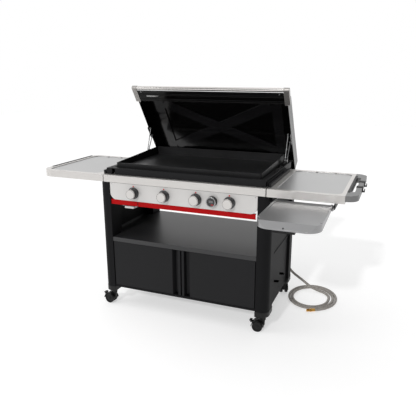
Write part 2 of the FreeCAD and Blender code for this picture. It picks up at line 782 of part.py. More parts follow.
def controls():
    bezel_front = PANEL_SETBACK - KNOB_BEZEL_THICK
    back = bezel_front - KNOB_GAP + KNOB_INSET
    front = PANEL_SETBACK - KNOB_PROTRUSION
    bezels = []
    for number, x in enumerate(knob_places(), 1):
        ring = without(
            rod(KNOB_BEZEL_R, (x, bezel_front, CONTROL_HEIGHT), (x, PANEL_SETBACK, CONTROL_HEIGHT)),
            rod(KNOB_BEZEL_BORE_R, (x, bezel_front, CONTROL_HEIGHT), (x, PANEL_SETBACK, CONTROL_HEIGHT)),
        )
        bezels.append(ring)
        profile = [
            (0, back),
            (KNOB_SKIRT_R, back),
            (KNOB_SKIRT_R, back - KNOB_SKIRT),
            (KNOB_R, back - KNOB_SLOPE),
            (KNOB_R - KNOB_TAPER, front + KNOB_CHAMFER[1]),
            (KNOB_R - KNOB_CHAMFER[0], front),
            (0, front),
        ]
        body = revolved(profile, x, CONTROL_HEIGHT)
        socket = rod(STEM_R + STEM_FIT, (x, back - STEM_DEPTH, CONTROL_HEIGHT), (x, back, CONTROL_HEIGHT))
        save(f"knob_{number}", without(body, socket))
    save("knob_bezels", *bezels)

    x = KNOB_SPACING
    face_y = PANEL_SETBACK - THERMO_PROTRUSION
    pocket_r = THERMO_R - THERMO_LIP
    tail_end = PANEL_SETBACK + THERMO_TAIL
    floor_y = face_y + FACE_POCKET
    can = joined(
        rod(THERMO_R, (x, face_y, CONTROL_HEIGHT), (x, PANEL_SETBACK, CONTROL_HEIGHT)),
        rod(THERMO_HOLE_R - THERMO_FIT, (x, PANEL_SETBACK, CONTROL_HEIGHT), (x, tail_end, CONTROL_HEIGHT)),
    )
    pocket = rod(pocket_r, (x, face_y, CONTROL_HEIGHT), (x, floor_y, CONTROL_HEIGHT))
    save("thermometer_housing", without(can, pocket))
    glass = rod(pocket_r - FACE_FIT, (x, face_y + FACE_SINK, CONTROL_HEIGHT), (x, floor_y, CONTROL_HEIGHT))
    save("thermometer_face", glass)


def grease_parts():
    """Drip pan hung on two runners behind the drawer front, the fixed guides and the chute above."""
    left = PAN_LEFT - PAN_FLANGE
    right = PAN_RIGHT + PAN_FLANGE
    ledge_top = PAN_TOP - PAN_WALL
    ledge_low = ledge_top - RUNNER_WALL
    runner_top = PAN_TOP + RUNNER_HEIGHT
    red_back = RED_FRONT + RED_DEPTH
    runners = []
    for inner_x, out in ((left, -1), (right, 1)):
        outer_x = inner_x + out * RUNNER_WALL
        wall = box(inner_x, outer_x, red_back, PAN_REAR, ledge_low, runner_top)
        ledge = box(inner_x - out * PAN_FLANGE / 2, outer_x, red_back, PAN_REAR, ledge_low, ledge_top)
        arm = box(inner_x, outer_x, RED_FRONT + SHEET, red_back, RED_BOTTOM + SHEET, runner_top)
        runners.append(joined(wall, ledge, arm))
    save("drawer_runners", *runners)

    outer = prism(rectangle(PAN_LEFT, PAN_RIGHT, PAN_FRONT, PAN_REAR), "z", PAN_BOTTOM, PAN_TOP, PAN_CORNER)
    inner = prism(
        rectangle(PAN_LEFT + PAN_WALL, PAN_RIGHT - PAN_WALL, PAN_FRONT + PAN_WALL, PAN_REAR - PAN_WALL),
        "z",
        PAN_BOTTOM + PAN_WALL,
        PAN_TOP,
        PAN_CORNER - PAN_WALL,
    )
    flange = box(left + 0.5, right - 0.5, PAN_FRONT, PAN_REAR, PAN_TOP - PAN_WALL, PAN_TOP)
    flange_hole = prism(
        rectangle(PAN_LEFT + PAN_WALL, PAN_RIGHT - PAN_WALL, PAN_FRONT + PAN_WALL, PAN_REAR - PAN_WALL),
        "z",
        PAN_TOP - PAN_WALL,
        PAN_TOP,
        PAN_CORNER - PAN_WALL,
    )
    save("drip_pan", joined(without(outer, inner), without(flange, flange_hole)))

    guides = []
    y0, y1 = red_back + GUIDE_START, PAN_REAR - GUIDE_START / 2
    low = ledge_low - GUIDE_GAP
    top = runner_top + GUIDE_GAP
    for inner_x, out in ((left, -1), (right, 1)):
        wall_x = inner_x + out * (RUNNER_WALL + GUIDE_GAP)
        outer_x = wall_x + out * GUIDE_WALL
        wall = box(wall_x, outer_x, y0, y1, low - GUIDE_WALL, top + GUIDE_WALL)
        sill = box(inner_x, outer_x, y0, y1, low - GUIDE_WALL, low)
        roof = box(inner_x, outer_x, y0, y1, top, top + GUIDE_WALL)
        hangers = []
        for start in (FIREBOX_FRONT + GUIDE_HANGER / 2, y1 - GUIDE_HANGER):
            hangers.append(box(wall_x, outer_x, start, start + GUIDE_HANGER, top, FIREBOX_FLOOR))
        guides.append(joined(wall, sill, roof, *hangers))
    save("drawer_guides", *guides)

    chute = without(
        cone(CHUTE_LOW_R, CHUTE_TOP_R, (CHUTE_X, CHUTE_Y, CHUTE_BOTTOM), (CHUTE_X, CHUTE_Y, FIREBOX_FLOOR)),
        cone(
            CHUTE_LOW_R - CHUTE_WALL,
            CHUTE_TOP_R - CHUTE_WALL,
            (CHUTE_X, CHUTE_Y, CHUTE_BOTTOM),
            (CHUTE_X, CHUTE_Y, FIREBOX_FLOOR),
        ),
    )
    save("grease_chute", chute)


def cookbox():
    t = COOKBOX_WALL
    skirt_low = TABLE_TOP
    half = COOKBOX_HALF
    outer = box(-half, half, COOKBOX_FRONT, COOKBOX_REAR, skirt_low, DECK_TOP)
    outer_hollow = box(t - half, half - t, COOKBOX_FRONT + t, COOKBOX_REAR - t, skirt_low, DECK_TOP - t)
    well = box(-WELL_HALF, WELL_HALF, WELL_FRONT, WELL_REAR, LEDGE_TOP - t, DECK_TOP)
    skin = without(outer, outer_hollow, well)
    well_walls = without(
        box(-WELL_HALF - t, WELL_HALF + t, WELL_FRONT - t, WELL_REAR + t, LEDGE_TOP - t, DECK_TOP),
        box(-WELL_HALF, WELL_HALF, WELL_FRONT, WELL_REAR, LEDGE_TOP - t, DECK_TOP),
    )
    fire_half, fire_front, fire_rear = FIREBOX_HALF - t, FIREBOX_FRONT + t, FIREBOX_REAR - t
    ledge = without(
        box(-WELL_HALF, WELL_HALF, WELL_FRONT, WELL_REAR, LEDGE_TOP - t, LEDGE_TOP),
        box(-fire_half, fire_half, fire_front, fire_rear, LEDGE_TOP - t, LEDGE_TOP),
    )
    firebox = without(
        box(-FIREBOX_HALF, FIREBOX_HALF, FIREBOX_FRONT, FIREBOX_REAR, FIREBOX_FLOOR, LEDGE_TOP),
        box(-fire_half, fire_half, fire_front, fire_rear, FIREBOX_FLOOR + t, LEDGE_TOP),
    )
    cuts = []
    for side in (-1, 1):
        notch_out, notch_front, notch_rear = LINK_NOTCH
        x0, x1 = side * (WELL_HALF + t), side * (WELL_HALF + notch_out)
        cuts.append(box(x0, x1, notch_front, notch_rear, DECK_TOP - t, DECK_TOP + t))
    notch_low, notch_high = CORNER_NOTCH
    cuts.append(box(-notch_high, -notch_low, COOKBOX_FRONT, COOKBOX_FRONT + t, skirt_low, DECK_TOP - t))
    for x in knob_places():
        start, end = FIREBOX_FRONT - CUT_REACH, FIREBOX_FRONT + CUT_REACH
        cuts.append(rod(BURNER_R + BURNER_CLEAR, (x, start, CONTROL_HEIGHT), (x, end, CONTROL_HEIGHT)))
    start, end = FIREBOX_FLOOR - CUT_REACH, FIREBOX_FLOOR + CUT_REACH
    cuts.append(rod(CHUTE_TOP_R - CHUTE_WALL, (CHUTE_X, CHUTE_Y, start), (CHUTE_X, CHUTE_Y, end)))
    tub = without(joined(skin, well_walls, ledge, firebox), *cuts)

    rails = []
    for out, width, height in SIDE_RAILS:
        inner_x = COOKBOX_HALF + out
        bar = box(inner_x, inner_x + width, SIDE_RAIL_FRONT, SIDE_RAIL_REAR, TABLE_TOP, TABLE_TOP + height)
        rails += both_sides(bar)
    save("cookbox", tub, *rails)


def griddle():
    outer_points = rectangle(-GRIDDLE_HALF, GRIDDLE_HALF, GRIDDLE_FRONT, GRIDDLE_REAR)
    bottom = GRIDDLE_SURFACE - GRIDDLE_THICK
    block = prism(outer_points, "z", bottom, GRIDDLE_REAR_TOP, GRIDDLE_CORNER)
    inside = prism(
        rectangle(
            -GRIDDLE_HALF + GRIDDLE_WALL,
            GRIDDLE_HALF - GRIDDLE_WALL,
            GRIDDLE_FRONT + GRIDDLE_WALL,
            GRIDDLE_REAR - GRIDDLE_WALL,
        ),
        "z",
        GRIDDLE_SURFACE,
        GRIDDLE_REAR_TOP,
        GRIDDLE_CORNER - GRIDDLE_WALL,
    )
    slope = prism(
        [
            (GRIDDLE_FRONT - 1, GRIDDLE_FRONT_TOP),
            (GRIDDLE_REAR - GRIDDLE_CORNER, GRIDDLE_REAR_TOP),
            (GRIDDLE_FRONT - 1, GRIDDLE_REAR_TOP + 1),
        ],
        "x",
        -GRIDDLE_HALF - 1,
        GRIDDLE_HALF + 1,
    )
    slot_length, slot_width = GREASE_SLOT
    slot_front = GRIDDLE_FRONT + 2 * GRIDDLE_WALL + slot_width
    slot = prism(
        rectangle(CHUTE_X - slot_length / 2, CHUTE_X + slot_length / 2, slot_front, slot_front + slot_width),
        "z",
        bottom,
        GRIDDLE_SURFACE,
        slot_width / 2 - HAIR,
    )
    plate = without(block, inside, slope, slot)
    foot_inset = (WELL_HALF - FIREBOX_HALF - (WELL_HALF - GRIDDLE_HALF)) / 2
    feet = []
    for x in (-GRIDDLE_HALF + foot_inset, GRIDDLE_HALF - foot_inset):
        for y in (GRIDDLE_FRONT + 3 * foot_inset, GRIDDLE_REAR - 3 * foot_inset):
            feet.append(rod(GRIDDLE_FOOT / 2, (x, y, LEDGE_TOP + REST_GAP), (x, y, bottom)))
    save("griddle_plate", joined(plate, *feet))


def gas_parts():
    burners = []
    closed_end = BURNER_REAR - BURNER_WALL
    for x in knob_places():
        tube = rod(BURNER_R, (x, BURNER_FRONT, CONTROL_HEIGHT), (x, BURNER_REAR, CONTROL_HEIGHT))
        inner_r = BURNER_R - BURNER_WALL
        inner = rod(inner_r, (x, BURNER_FRONT, CONTROL_HEIGHT), (x, closed_end, CONTROL_HEIGHT))
        burners.append(without(tube, inner))
    half = FIREBOX_HALF - COOKBOX_WALL
    low, high = FIREBOX_FLOOR + COOKBOX_WALL, CONTROL_HEIGHT + BURNER_R
    carrier = box(-half, half, BURNER_REAR, BURNER_REAR + CARRIER_THICK, low, high)
    save("burner_tubes", *burners, carrier)

    left_end, right_end = (-MANIFOLD_HALF, MANIFOLD_Y, MANIFOLD_Z), (MANIFOLD_HALF, MANIFOLD_Y, MANIFOLD_Z)
    manifold = rod(MANIFOLD_R, left_end, right_end)
    valves = []
    bezel_front = PANEL_SETBACK - KNOB_BEZEL_THICK
    stem_end = bezel_front - KNOB_GAP + KNOB_INSET - STEM_DEPTH + KNOB_INSET
    nozzle_start, nozzle_end = BURNER_FRONT - NOZZLE_BACK, BURNER_FRONT + NOZZLE_IN
    for x in knob_places():
        body = joined(
            rod(VALVE_R, (x, VALVE_FRONT, CONTROL_HEIGHT), (x, nozzle_start, CONTROL_HEIGHT)),
            rod(STEM_R, (x, stem_end, CONTROL_HEIGHT), (x, VALVE_FRONT, CONTROL_HEIGHT)),
            cone(VALVE_R, STEM_R, (x, nozzle_start, CONTROL_HEIGHT), (x, nozzle_end, CONTROL_HEIGHT)),
        )
        valves.append(without(body, manifold))
    save("gas_manifold", manifold, *valves)

    points = [
        (MANIFOLD_HALF, MANIFOLD_Y, MANIFOLD_Z),
        (SUPPLY_X, MANIFOLD_Y, MANIFOLD_Z),
        (SUPPLY_X, SUPPLY_Y, MANIFOLD_Z),
        (SUPPLY_X, SUPPLY_Y, INLET_Z),
        (SUPPLY_X, SUPPLY_END_Y, INLET_Z),
    ]
    bends = [SUPPLY_BEND, SUPPLY_BEND, SUPPLY_BEND]
    save("gas_supply_pipe", pipe(smooth_path(points, bends), SUPPLY_R))

    def hexagon(radius, y0, y1):
        corners = []
        for k in range(6):
            turn = math.radians(60 * k)
            corners.append((SUPPLY_X + radius * math.cos(turn), INLET_Z + radius * math.sin(turn)))
        return prism(corners, "y", y0, y1)

    inside = CABINET_REAR - SHEET
    nut_end = CABINET_REAR + INLET_NUT_LENGTH
    fitting = joined(
        hexagon(INLET_NUT_R, SUPPLY_END_Y, inside),
        rod(INLET_SHANK_R, (SUPPLY_X, inside, INLET_Z), (SUPPLY_X, CABINET_REAR, INLET_Z)),
        hexagon(INLET_NUT_R, CABINET_REAR, nut_end),
        rod(INLET_COLLAR_R, (SUPPLY_X, nut_end, INLET_Z), (SUPPLY_X, INLET_END_Y, INLET_Z)),
    )
    save("gas_inlet_fitting", fitting)


def opened(shape):
    """Move a piece of the lid from its flat drawing place to where it is when the lid is open."""
    shape = shape.copy()
    shape.rotate(V(0, 0, 0), V(1, 0, 0), LID_OPEN_LEAN - 90.0)
    shape.translate(V(0, *HANDLE_OPEN))
    return shape


def lid_point(place_in_lid, tilt, handle):
    """Place of a point of the lid, given as its distances from the handle along the lid and below it."""
    along, below = place_in_lid
    turn = math.radians(tilt)
    y = handle[0] + along * math.cos(turn) + below * math.sin(turn)
    z = handle[1] + along * math.sin(turn) - below * math.cos(turn)
    return y, z


def linkage():
    """Foot and head of both links with the lid open and shut, and the turns from open to shut in degrees."""
    links = []
    for head, foot_z in ((LINK_FRONT_AT, LINK_FRONT_FOOT), (LINK_REAR_AT, LINK_REAR_FOOT)):
        up = lid_point(head, LID_OPEN_LEAN - 90.0, HANDLE_OPEN)
        down = lid_point(head, LID_SHUT_TILT, HANDLE_SHUT)
        squares = up[0] ** 2 - down[0] ** 2 + (up[1] - foot_z) ** 2 - (down[1] - foot_z) ** 2
        foot_y = squares / (2 * (up[0] - down[0]))
        before = math.atan2(up[1] - foot_z, up[0] - foot_y)
        after = math.atan2(down[1] - foot_z, down[0] - foot_y)
        links.append(((foot_y, foot_z), up, down, math.degrees(after - before)))
    return links


def lid():
    wall = LID_WALL
    rear = LID_LENGTH
    low, high = -RIM_BELOW, SKIN_ABOVE
    front = HANDLE_R
    slope_end = front + FRONT_SLOPE
    slope_angle = math.atan2(high - low, FRONT_SLOPE)
    across = wall / math.sin(slope_angle)
    back = wall / math.tan(slope_angle)
    outer_points = [(front, low), (rear, low), (rear, high), (slope_end, high)]
    inner_points = [
        (front + across, low),
        (rear - wall, low),
        (rear - wall, high - wall),
        (slope_end + across - back, high - wall),
    ]
    outer = prism(outer_points, "x", -LID_HALF, LID_HALF, [0, 0, LID_REAR_ROUND, 0])
    inner = prism(inner_points, "x", wall - LID_HALF, LID_HALF - wall, [0, 0, LID_REAR_ROUND - wall, 0])
    line = [(front + across / 2, low)]
    deep = low + BEAD_DEPTH
    for start, end in BAND_BEADS:
        line += [(start, low), (start + BEAD_DEPTH, deep), (end - BEAD_DEPTH, deep), (end, low)]
    line += [(BAND_END, low), (BAND_END, low + BAND_RETURN)]
    band = sheet(line, wall, "x", wall - LID_HALF, LID_HALF - wall)

    plate_out = LID_HALF - wall
    plate_in = plate_out - LINK_PLATE
    front_at, front_below = LINK_FRONT_AT
    rear_at, rear_below = LINK_REAR_AT
    plate_low = -front_below - LINK_EYE_R
    plate = prism(
        [
            (front_at - LINK_PLATE_REACH, low + LINK_PLATE_REACH),
            (front_at - LINK_EYE_R, plate_low),
            (rear_at + LINK_EYE_R, plate_low),
            (rear_at + LINK_PLATE_REACH, low + LINK_PLATE_REACH),
        ],
        "x",
        plate_in,
        plate_out,
    )
    rear_x = plate_in - LINK_GAP - LINK_THICK / 2
    front_x = rear_x - LINK_SPACING
    half = LINK_THICK / 2
    pin = rod(LINK_PIN_R, (front_x - half, front_at, -front_below), (plate_in, front_at, -front_below))
    head = rod(LINK_HEAD_R, (front_x - half - CHEEK_GAP - LINK_GAP, front_at, -front_below),
               (front_x - half - CHEEK_GAP / 2, front_at, -front_below))
    neck = rod(LINK_PIN_R, (front_x - half - CHEEK_GAP / 2, front_at, -front_below),
               (front_x - half, front_at, -front_below))
    spacer = rod(LINK_HEAD_R, (front_x + half + CHEEK_GAP / 2, front_at, -front_below),
                 (plate_in, front_at, -front_below))
    hardware = joined(plate, pin, neck, head, spacer)
    shell = joined(without(outer, inner), band, *both_sides(hardware))
    save("lid_shell", opened(shell))

    top = high - wall
    under = top - BRACE_ROOM
    strips = []
    for side in (-1, 1):
        inner_x, outer_x = side * (FRAME_HALF - FRAME_STRIP), side * FRAME_HALF
        strips.append(box(inner_x, outer_x, FRAME_FROM, FRAME_TO, under, top))
    middle_y = (BRACE_FROM + BRACE_TO) / 2
    reach = (BRACE_TO - BRACE_FROM) / 2
    length = math.hypot(BRACE_HALF, reach)
    window = box(-BRACE_HALF - BRACE_ROOM, BRACE_HALF + BRACE_ROOM, FRAME_FROM, FRAME_TO, under, top)
    ribs = []
    for side in (-1, 1):
        rib = box(-length, length, middle_y - BRACE_WIDTH / 2, middle_y + BRACE_WIDTH / 2, under, top)
        rib.rotate(V(0, middle_y, 0), V(0, 0, 1), side * math.degrees(math.atan2(reach, BRACE_HALF)))
        ribs.append(rib.common(window))
    save("lid_inner_frame", opened(joined(*strips, *ribs)))

    bar_end = LID_HALF - HANDLE_END_IN
    save("lid_handle_bar", opened(rod(HANDLE_R, (-bar_end, 0, 0), (bar_end, 0, 0))))
    outside = LID_HALF + HANDLE_END_OUT
    grip = HANDLE_END_HALF
    knuckle = prism(
        rectangle(-grip, HANDLE_R - HANDLE_LIP / 2, -RIM_BELOW - HANDLE_LIP, grip),
        "x",
        bar_end,
        outside,
        [HANDLE_R - HANDLE_LIP, 0, HANDLE_R / 2, HANDLE_R - HANDLE_LIP],
    )
    cheek = prism(
        [
            (0.0, -RIM_BELOW - HANDLE_LIP),
            (HANDLE_END_LENGTH, -RIM_BELOW - HANDLE_LIP),
            (HANDLE_END_LENGTH, 0.0),
            (grip, grip),
            (0.0, grip),
        ],
        "x",
        LID_HALF,
        outside,
        [0, HANDLE_R / 2, HANDLE_R / 2, HANDLE_R / 2, 0],
    )
    lip = box(bar_end, LID_HALF, 0.0, HANDLE_END_LENGTH, -RIM_BELOW - HANDLE_LIP, -RIM_BELOW)
    end = joined(knuckle, cheek, lip)
    save("lid_handle_ends", *[opened(part) for part in both_sides(end)])
    return front_x, rear_x


def link(x, foot, head, foot_bore, head_bore):
    """Round bar with an eye at each end; the head's eye is left whole when it has no bore."""
    half = LINK_THICK / 2
    eyes = []
    for y, z in (foot, head):
        eyes.append(rod(LINK_EYE_R, (x - half, y, z), (x + half, y, z)))
    bar = joined(rod(half, (x, *foot), (x, *head)), *eyes)
    cuts = []
    for (y, z), wanted in ((foot, foot_bore), (head, head_bore)):
        if wanted:
            cuts.append(rod(LINK_PIN_R + LINK_FIT, (x - LINK_THICK, y, z), (x + LINK_THICK, y, z)))
    return without(bar, *cuts)


def lid_links(front_x, rear_x):
    (front_foot, front_up, _, _), (rear_foot, rear_up, _, _) = linkage()
    save("lid_front_links", *both_sides(link(front_x, front_foot, front_up, True, True)))
    save("lid_rear_links", *both_sides(link(rear_x, rear_foot, rear_up, True, False)))

    half = LINK_THICK / 2
    cheek_out = front_x - half - CHEEK_GAP
    cheek_in = cheek_out - CHEEK_THICK
    margin = CHEEK_MARGIN
    top = LINK_FRONT_FOOT + margin
    cheek = prism(
        [
            (front_foot[0] - margin, DECK_TOP),
            (rear_foot[0] + margin, DECK_TOP),
            (rear_foot[0] + margin, top),
            (front_foot[0] - margin, top),
        ],
        "x",
        cheek_in,
        cheek_out,
        [0, 0, LINK_EYE_R, LINK_EYE_R],
    )
    foot = box(
        cheek_out,
        cheek_out + CHEEK_FOOT,
        front_foot[0] - margin,
        rear_foot[0] + margin,
        DECK_TOP,
        DECK_TOP + CHEEK_THICK,
    )
    pins = []
    for (y, z), x in ((front_foot, front_x), (rear_foot, rear_x)):
        pins.append(rod(LINK_PIN_R, (cheek_in, y, z), (x + half, y, z)))
        pins.append(rod(LINK_HEAD_R, (cheek_in - LINK_GAP, y, z), (cheek_in, y, z)))
    collar_end = rear_x - half - CHEEK_GAP / 2
    pins.append(rod(LINK_HEAD_R, (cheek_out, *rear_foot), (collar_end, *rear_foot)))
    pins.append(rod(LINK_HEAD_R, (cheek_out, *front_foot), (cheek_out + CHEEK_GAP / 2, *front_foot)))
    save("lid_hinge_brackets", *both_sides(joined(cheek, foot, *pins)))


def inset(points, distance, sides):
    """Shrink a rectangle-like outline by the distance, on an outline that turns anticlockwise."""
    xs = [p[0] for p in points]
    ys = [p[1] for p in points]
    moved = rectangle(min(xs) + distance, max(xs) - distance, min(ys) + distance, max(ys) - distance)
    return moved, [max(r - distance, 0) for r in sides]


def table(inner, outer, radii, recess_outer):
    """Frame and recessed top of one side table; inner and outer are X places."""
    low_x, high_x = min(inner, outer), max(inner, outer)
    plan = rectangle(low_x, high_x, 0.0, TABLE_REAR)
    shell = prism(plan, "z", TABLE_TOP - TABLE_SKIRT, TABLE_TOP, radii)
    inside_plan, inside_radii = inset(plan, TABLE_WALL, radii)
    hollow = prism(inside_plan, "z", TABLE_TOP - TABLE_SKIRT, TABLE_TOP - TABLE_WALL, inside_radii)
    side = 1 if inner > 0 else -1
    recess = sorted((side * RECESS_INNER, side * recess_outer))
    recess_plan = rectangle(recess[0], recess[1], RECESS_FRONT, RECESS_REAR)
    window = prism(recess_plan, "z", TABLE_TOP - TABLE_WALL, TABLE_TOP, RECESS_CORNER)
    notches = []
    notch_length, notch_width = NOTCH_SIZE
    for notch_side, y in TABLE_NOTCHES:
        if notch_side != side:
            continue
        x = side * (TABLE_SEAM + NOTCH_OUT)
        notch_plan = rectangle(x - notch_length / 2, x + notch_length / 2, y, y + notch_width)
        notches.append(prism(notch_plan, "z", TABLE_TOP - TABLE_WALL, TABLE_TOP, notch_width / 2 - HAIR))
    frame = without(shell, hollow, window, *notches)
    w = TABLE_WALL
    low = TABLE_TOP - w - TABLE_RECESS
    tray_plan = rectangle(recess[0] - w, recess[1] + w, RECESS_FRONT - w, RECESS_REAR + w)
    tray = prism(tray_plan, "z", low, TABLE_TOP - w, RECESS_CORNER + w)
    pocket = prism(recess_plan, "z", low + w, TABLE_TOP - w, RECESS_CORNER)
    return frame, without(tray, pocket)


def tables():
    left_corners = [LEFT_CORNER, TABLE_CORNER, TABLE_CORNER, LEFT_CORNER]
    frame, top = table(-TABLE_SEAM, -LEFT_OUTER, left_corners, LEFT_RECESS_OUTER)
    save("left_table_frame", frame)
    left_top = top
    frame, top = table(TABLE_SEAM, RIGHT_OUTER, [TABLE_CORNER] * 4, RIGHT_RECESS_OUTER)
    save("right_table_frame", frame)
    save("table_tops", left_top, top)

    strip_in, strip_out, y0, y1 = LEFT_STRIP
    left_plan = rectangle(strip_out - LEFT_OUTER, strip_in - LEFT_OUTER, y0, y1)
    left_strip = prism(left_plan, "z", TABLE_TOP, STRIP_TOP, TABLE_CORNER)

    strip_in, strip_out, y0, y1 = RIGHT_STRIP
    x0, x1 = RIGHT_OUTER + strip_in, RIGHT_OUTER + strip_out
    save("table_end_strips", left_strip, box(x0, x1, y0, y1, TABLE_TOP - BAR_THICK, STRIP_TOP))
    plan = rectangle(RIGHT_OUTER, BAR_OUTER, 0.0, TABLE_REAR)
    bar = prism(plan, "z", TABLE_TOP - BAR_THICK, TABLE_TOP, [0, BAR_CORNER, BAR_CORNER, 0])
    opening_in, opening_out, opening_front, opening_rear = BAR_OPENING
    opening_plan = rectangle(RIGHT_OUTER + opening_in, RIGHT_OUTER + opening_out, opening_front, opening_rear)
    opening = prism(opening_plan, "z", TABLE_TOP - BAR_THICK, TABLE_TOP, OPENING_CORNER)
    pocket = box(x0, x1, y0, y1, TABLE_TOP - BAR_THICK, TABLE_TOP)
    save("right_table_handle", without(bar, opening, pocket))

    hooks = []
    in_x = BAR_OUTER - BAR_WIDTH
    drop = TABLE_TOP - HOOK_DROP
    line = [
        (in_x, TABLE_TOP - BAR_THICK + HOOK_WALL),
        (in_x, TABLE_TOP),
        (BAR_OUTER, TABLE_TOP),
        (BAR_OUTER, drop),
        (BAR_OUTER + HOOK_REACH, drop),
        (BAR_OUTER + HOOK_REACH, drop + HOOK_TIP),
    ]
    for y in HOOK_CENTRES:
        hooks.append(sheet(line, HOOK_WALL, "y", y - HOOK_WIDTH / 2, y + HOOK_WIDTH / 2))
    save("tool_hooks", *hooks)


def tray_profile(wall):
    """Side outline of the tray, or of the hollow under it when a wall is given."""
    lip_z = TRAY_BOTTOM + TRAY_LIP_HEIGHT
    rear = TRAY_REAR + wall
    return [
        (TRAY_LIP + wall, TRAY_BOTTOM),
        (TRAY_LIP + wall, lip_z),
        (TRAY_FRONT + wall / 2, TRAY_TOP - wall),
        (rear, TRAY_TOP - wall),
        (rear, TRAY_BOTTOM),
    ]


def tray_block(wall):
    left, right = TRAY_LEFT + wall, TRAY_RIGHT - wall
    plan = rectangle(left, right, TRAY_LIP + wall, TRAY_REAR + wall)
    corner = TRAY_CORNER - wall
    return prism(tray_profile(wall), "x", left, right).common(
        prism(plan, "z", TRAY_BOTTOM, TRAY_TOP, [corner, corner, 0, 0])
    )


def pull_out_tray():
    side_low = TRAY_TOP - TRAY_SIDE
    start = TRAY_LIP + TRAY_CORNER
    below = [(start, TRAY_BOTTOM), (TRAY_REAR, TRAY_BOTTOM), (TRAY_REAR, side_low)]
    under = prism(below, "x", TRAY_LEFT, TRAY_RIGHT)
    hole = rod(TRAY_HOLE_R, (TRAY_HOLE_X, TRAY_LIP, TRAY_HOLE_Z), (TRAY_HOLE_X, TRAY_FRONT, TRAY_HOLE_Z))
    borders = []
    for x0 in (TRAY_LEFT, TRAY_RIGHT - TRAY_BORDER):
        top = TRAY_TOP + TRAY_BORDER_HEIGHT
        borders.append(box(x0, x0 + TRAY_BORDER, start, TRAY_REAR, TRAY_TOP, top))
    reach = SLIDE_DEPTH - SLIDE_WALL - SLIDE_GAP
    runners = []
    for edge, out in ((TRAY_LEFT, -1), (TRAY_RIGHT, 1)):
        far = edge + out * reach
        runners.append(box(edge, far, -RUNNER_REAR / 4, TRAY_REAR, RUNNER_LOW, RUNNER_TOP))
        tail_end = TRAY_REAR + RUNNER_REAR
        runners.append(box(far, far - out * RUNNER_THICK, TRAY_REAR, tail_end, RUNNER_LOW, RUNNER_TOP))
    body = without(tray_block(0.0), tray_block(TRAY_WALL), under, hole)
    save("pull_out_tray", joined(body, *borders, *runners))

    g0, g1 = GRIP_X
    grip_low = TRAY_BOTTOM - GRIP_DROP
    grip = box(g0, g1, TRAY_LIP, TRAY_LIP + GRIP_DEPTH, grip_low, TRAY_BOTTOM)
    scoop = box(
        g0 + GRIP_WALL,
        g1 - GRIP_WALL,
        TRAY_LIP + GRIP_WALL,
        TRAY_LIP + GRIP_DEPTH,
        grip_low,
        TRAY_BOTTOM - GRIP_WALL,
    )
    save("tray_grip", without(grip, scoop))

    rails = []
    top = TABLE_TOP - TABLE_SKIRT
    for outer_x, toward in ((TRAY_LEFT - SLIDE_DEPTH, 1), (TRAY_RIGHT + SLIDE_DEPTH, -1)):
        open_x = outer_x + toward * (SLIDE_DEPTH - SLIDE_GAP)
        wall_x = outer_x + toward * SLIDE_WALL
        low = RUNNER_LOW - SLIDE_GAP
        high = RUNNER_TOP + SLIDE_GAP
        channel = joined(
            box(outer_x, wall_x, 0, TABLE_REAR, low - SLIDE_WALL, top),
            box(outer_x, open_x, 0, TABLE_REAR, low - SLIDE_WALL, low),
            box(outer_x, open_x, 0, TABLE_REAR, high, high + SLIDE_WALL),
        )
        rails.append(channel)
    save("tray_slide_rails", *rails)


def turned(shape, heading, x, y):
    shape = shape.copy()
    shape.rotate(V(0, 0, 0), V(0, 0, 1), heading)
    shape.translate(V(x, y, 0))
    return shape


def caster_places():
    return {
        "front_left": (-CASTER_X, CASTER_FRONT_Y),
        "front_right": (CASTER_X, CASTER_FRONT_Y),
        "rear_left": (-CASTER_X, CASTER_REAR_Y),
        "rear_right": (CASTER_X, CASTER_REAR_Y),
    }


def lever_reach():
    return CASTER_TRAIL + (HOOD_R + HOOD_WALL + LEVER_CLEAR) * math.cos(math.radians(LEVER_ANGLE))


def lever_height():
    return WHEEL_R + (HOOD_R + HOOD_WALL + LEVER_CLEAR) * math.sin(math.radians(LEVER_ANGLE))


def half_rod(radius, half_length):
    """Upper half of a rod about the wheels' axle."""
    half = Part.makeCylinder(radius, 2 * half_length, V(0, 0, 0), V(0, 0, 1), 180)
    half.rotate(V(0, 0, 0), V(1, 0, 0), 90)
    half.translate(V(CASTER_TRAIL, half_length, WHEEL_R))
    return half


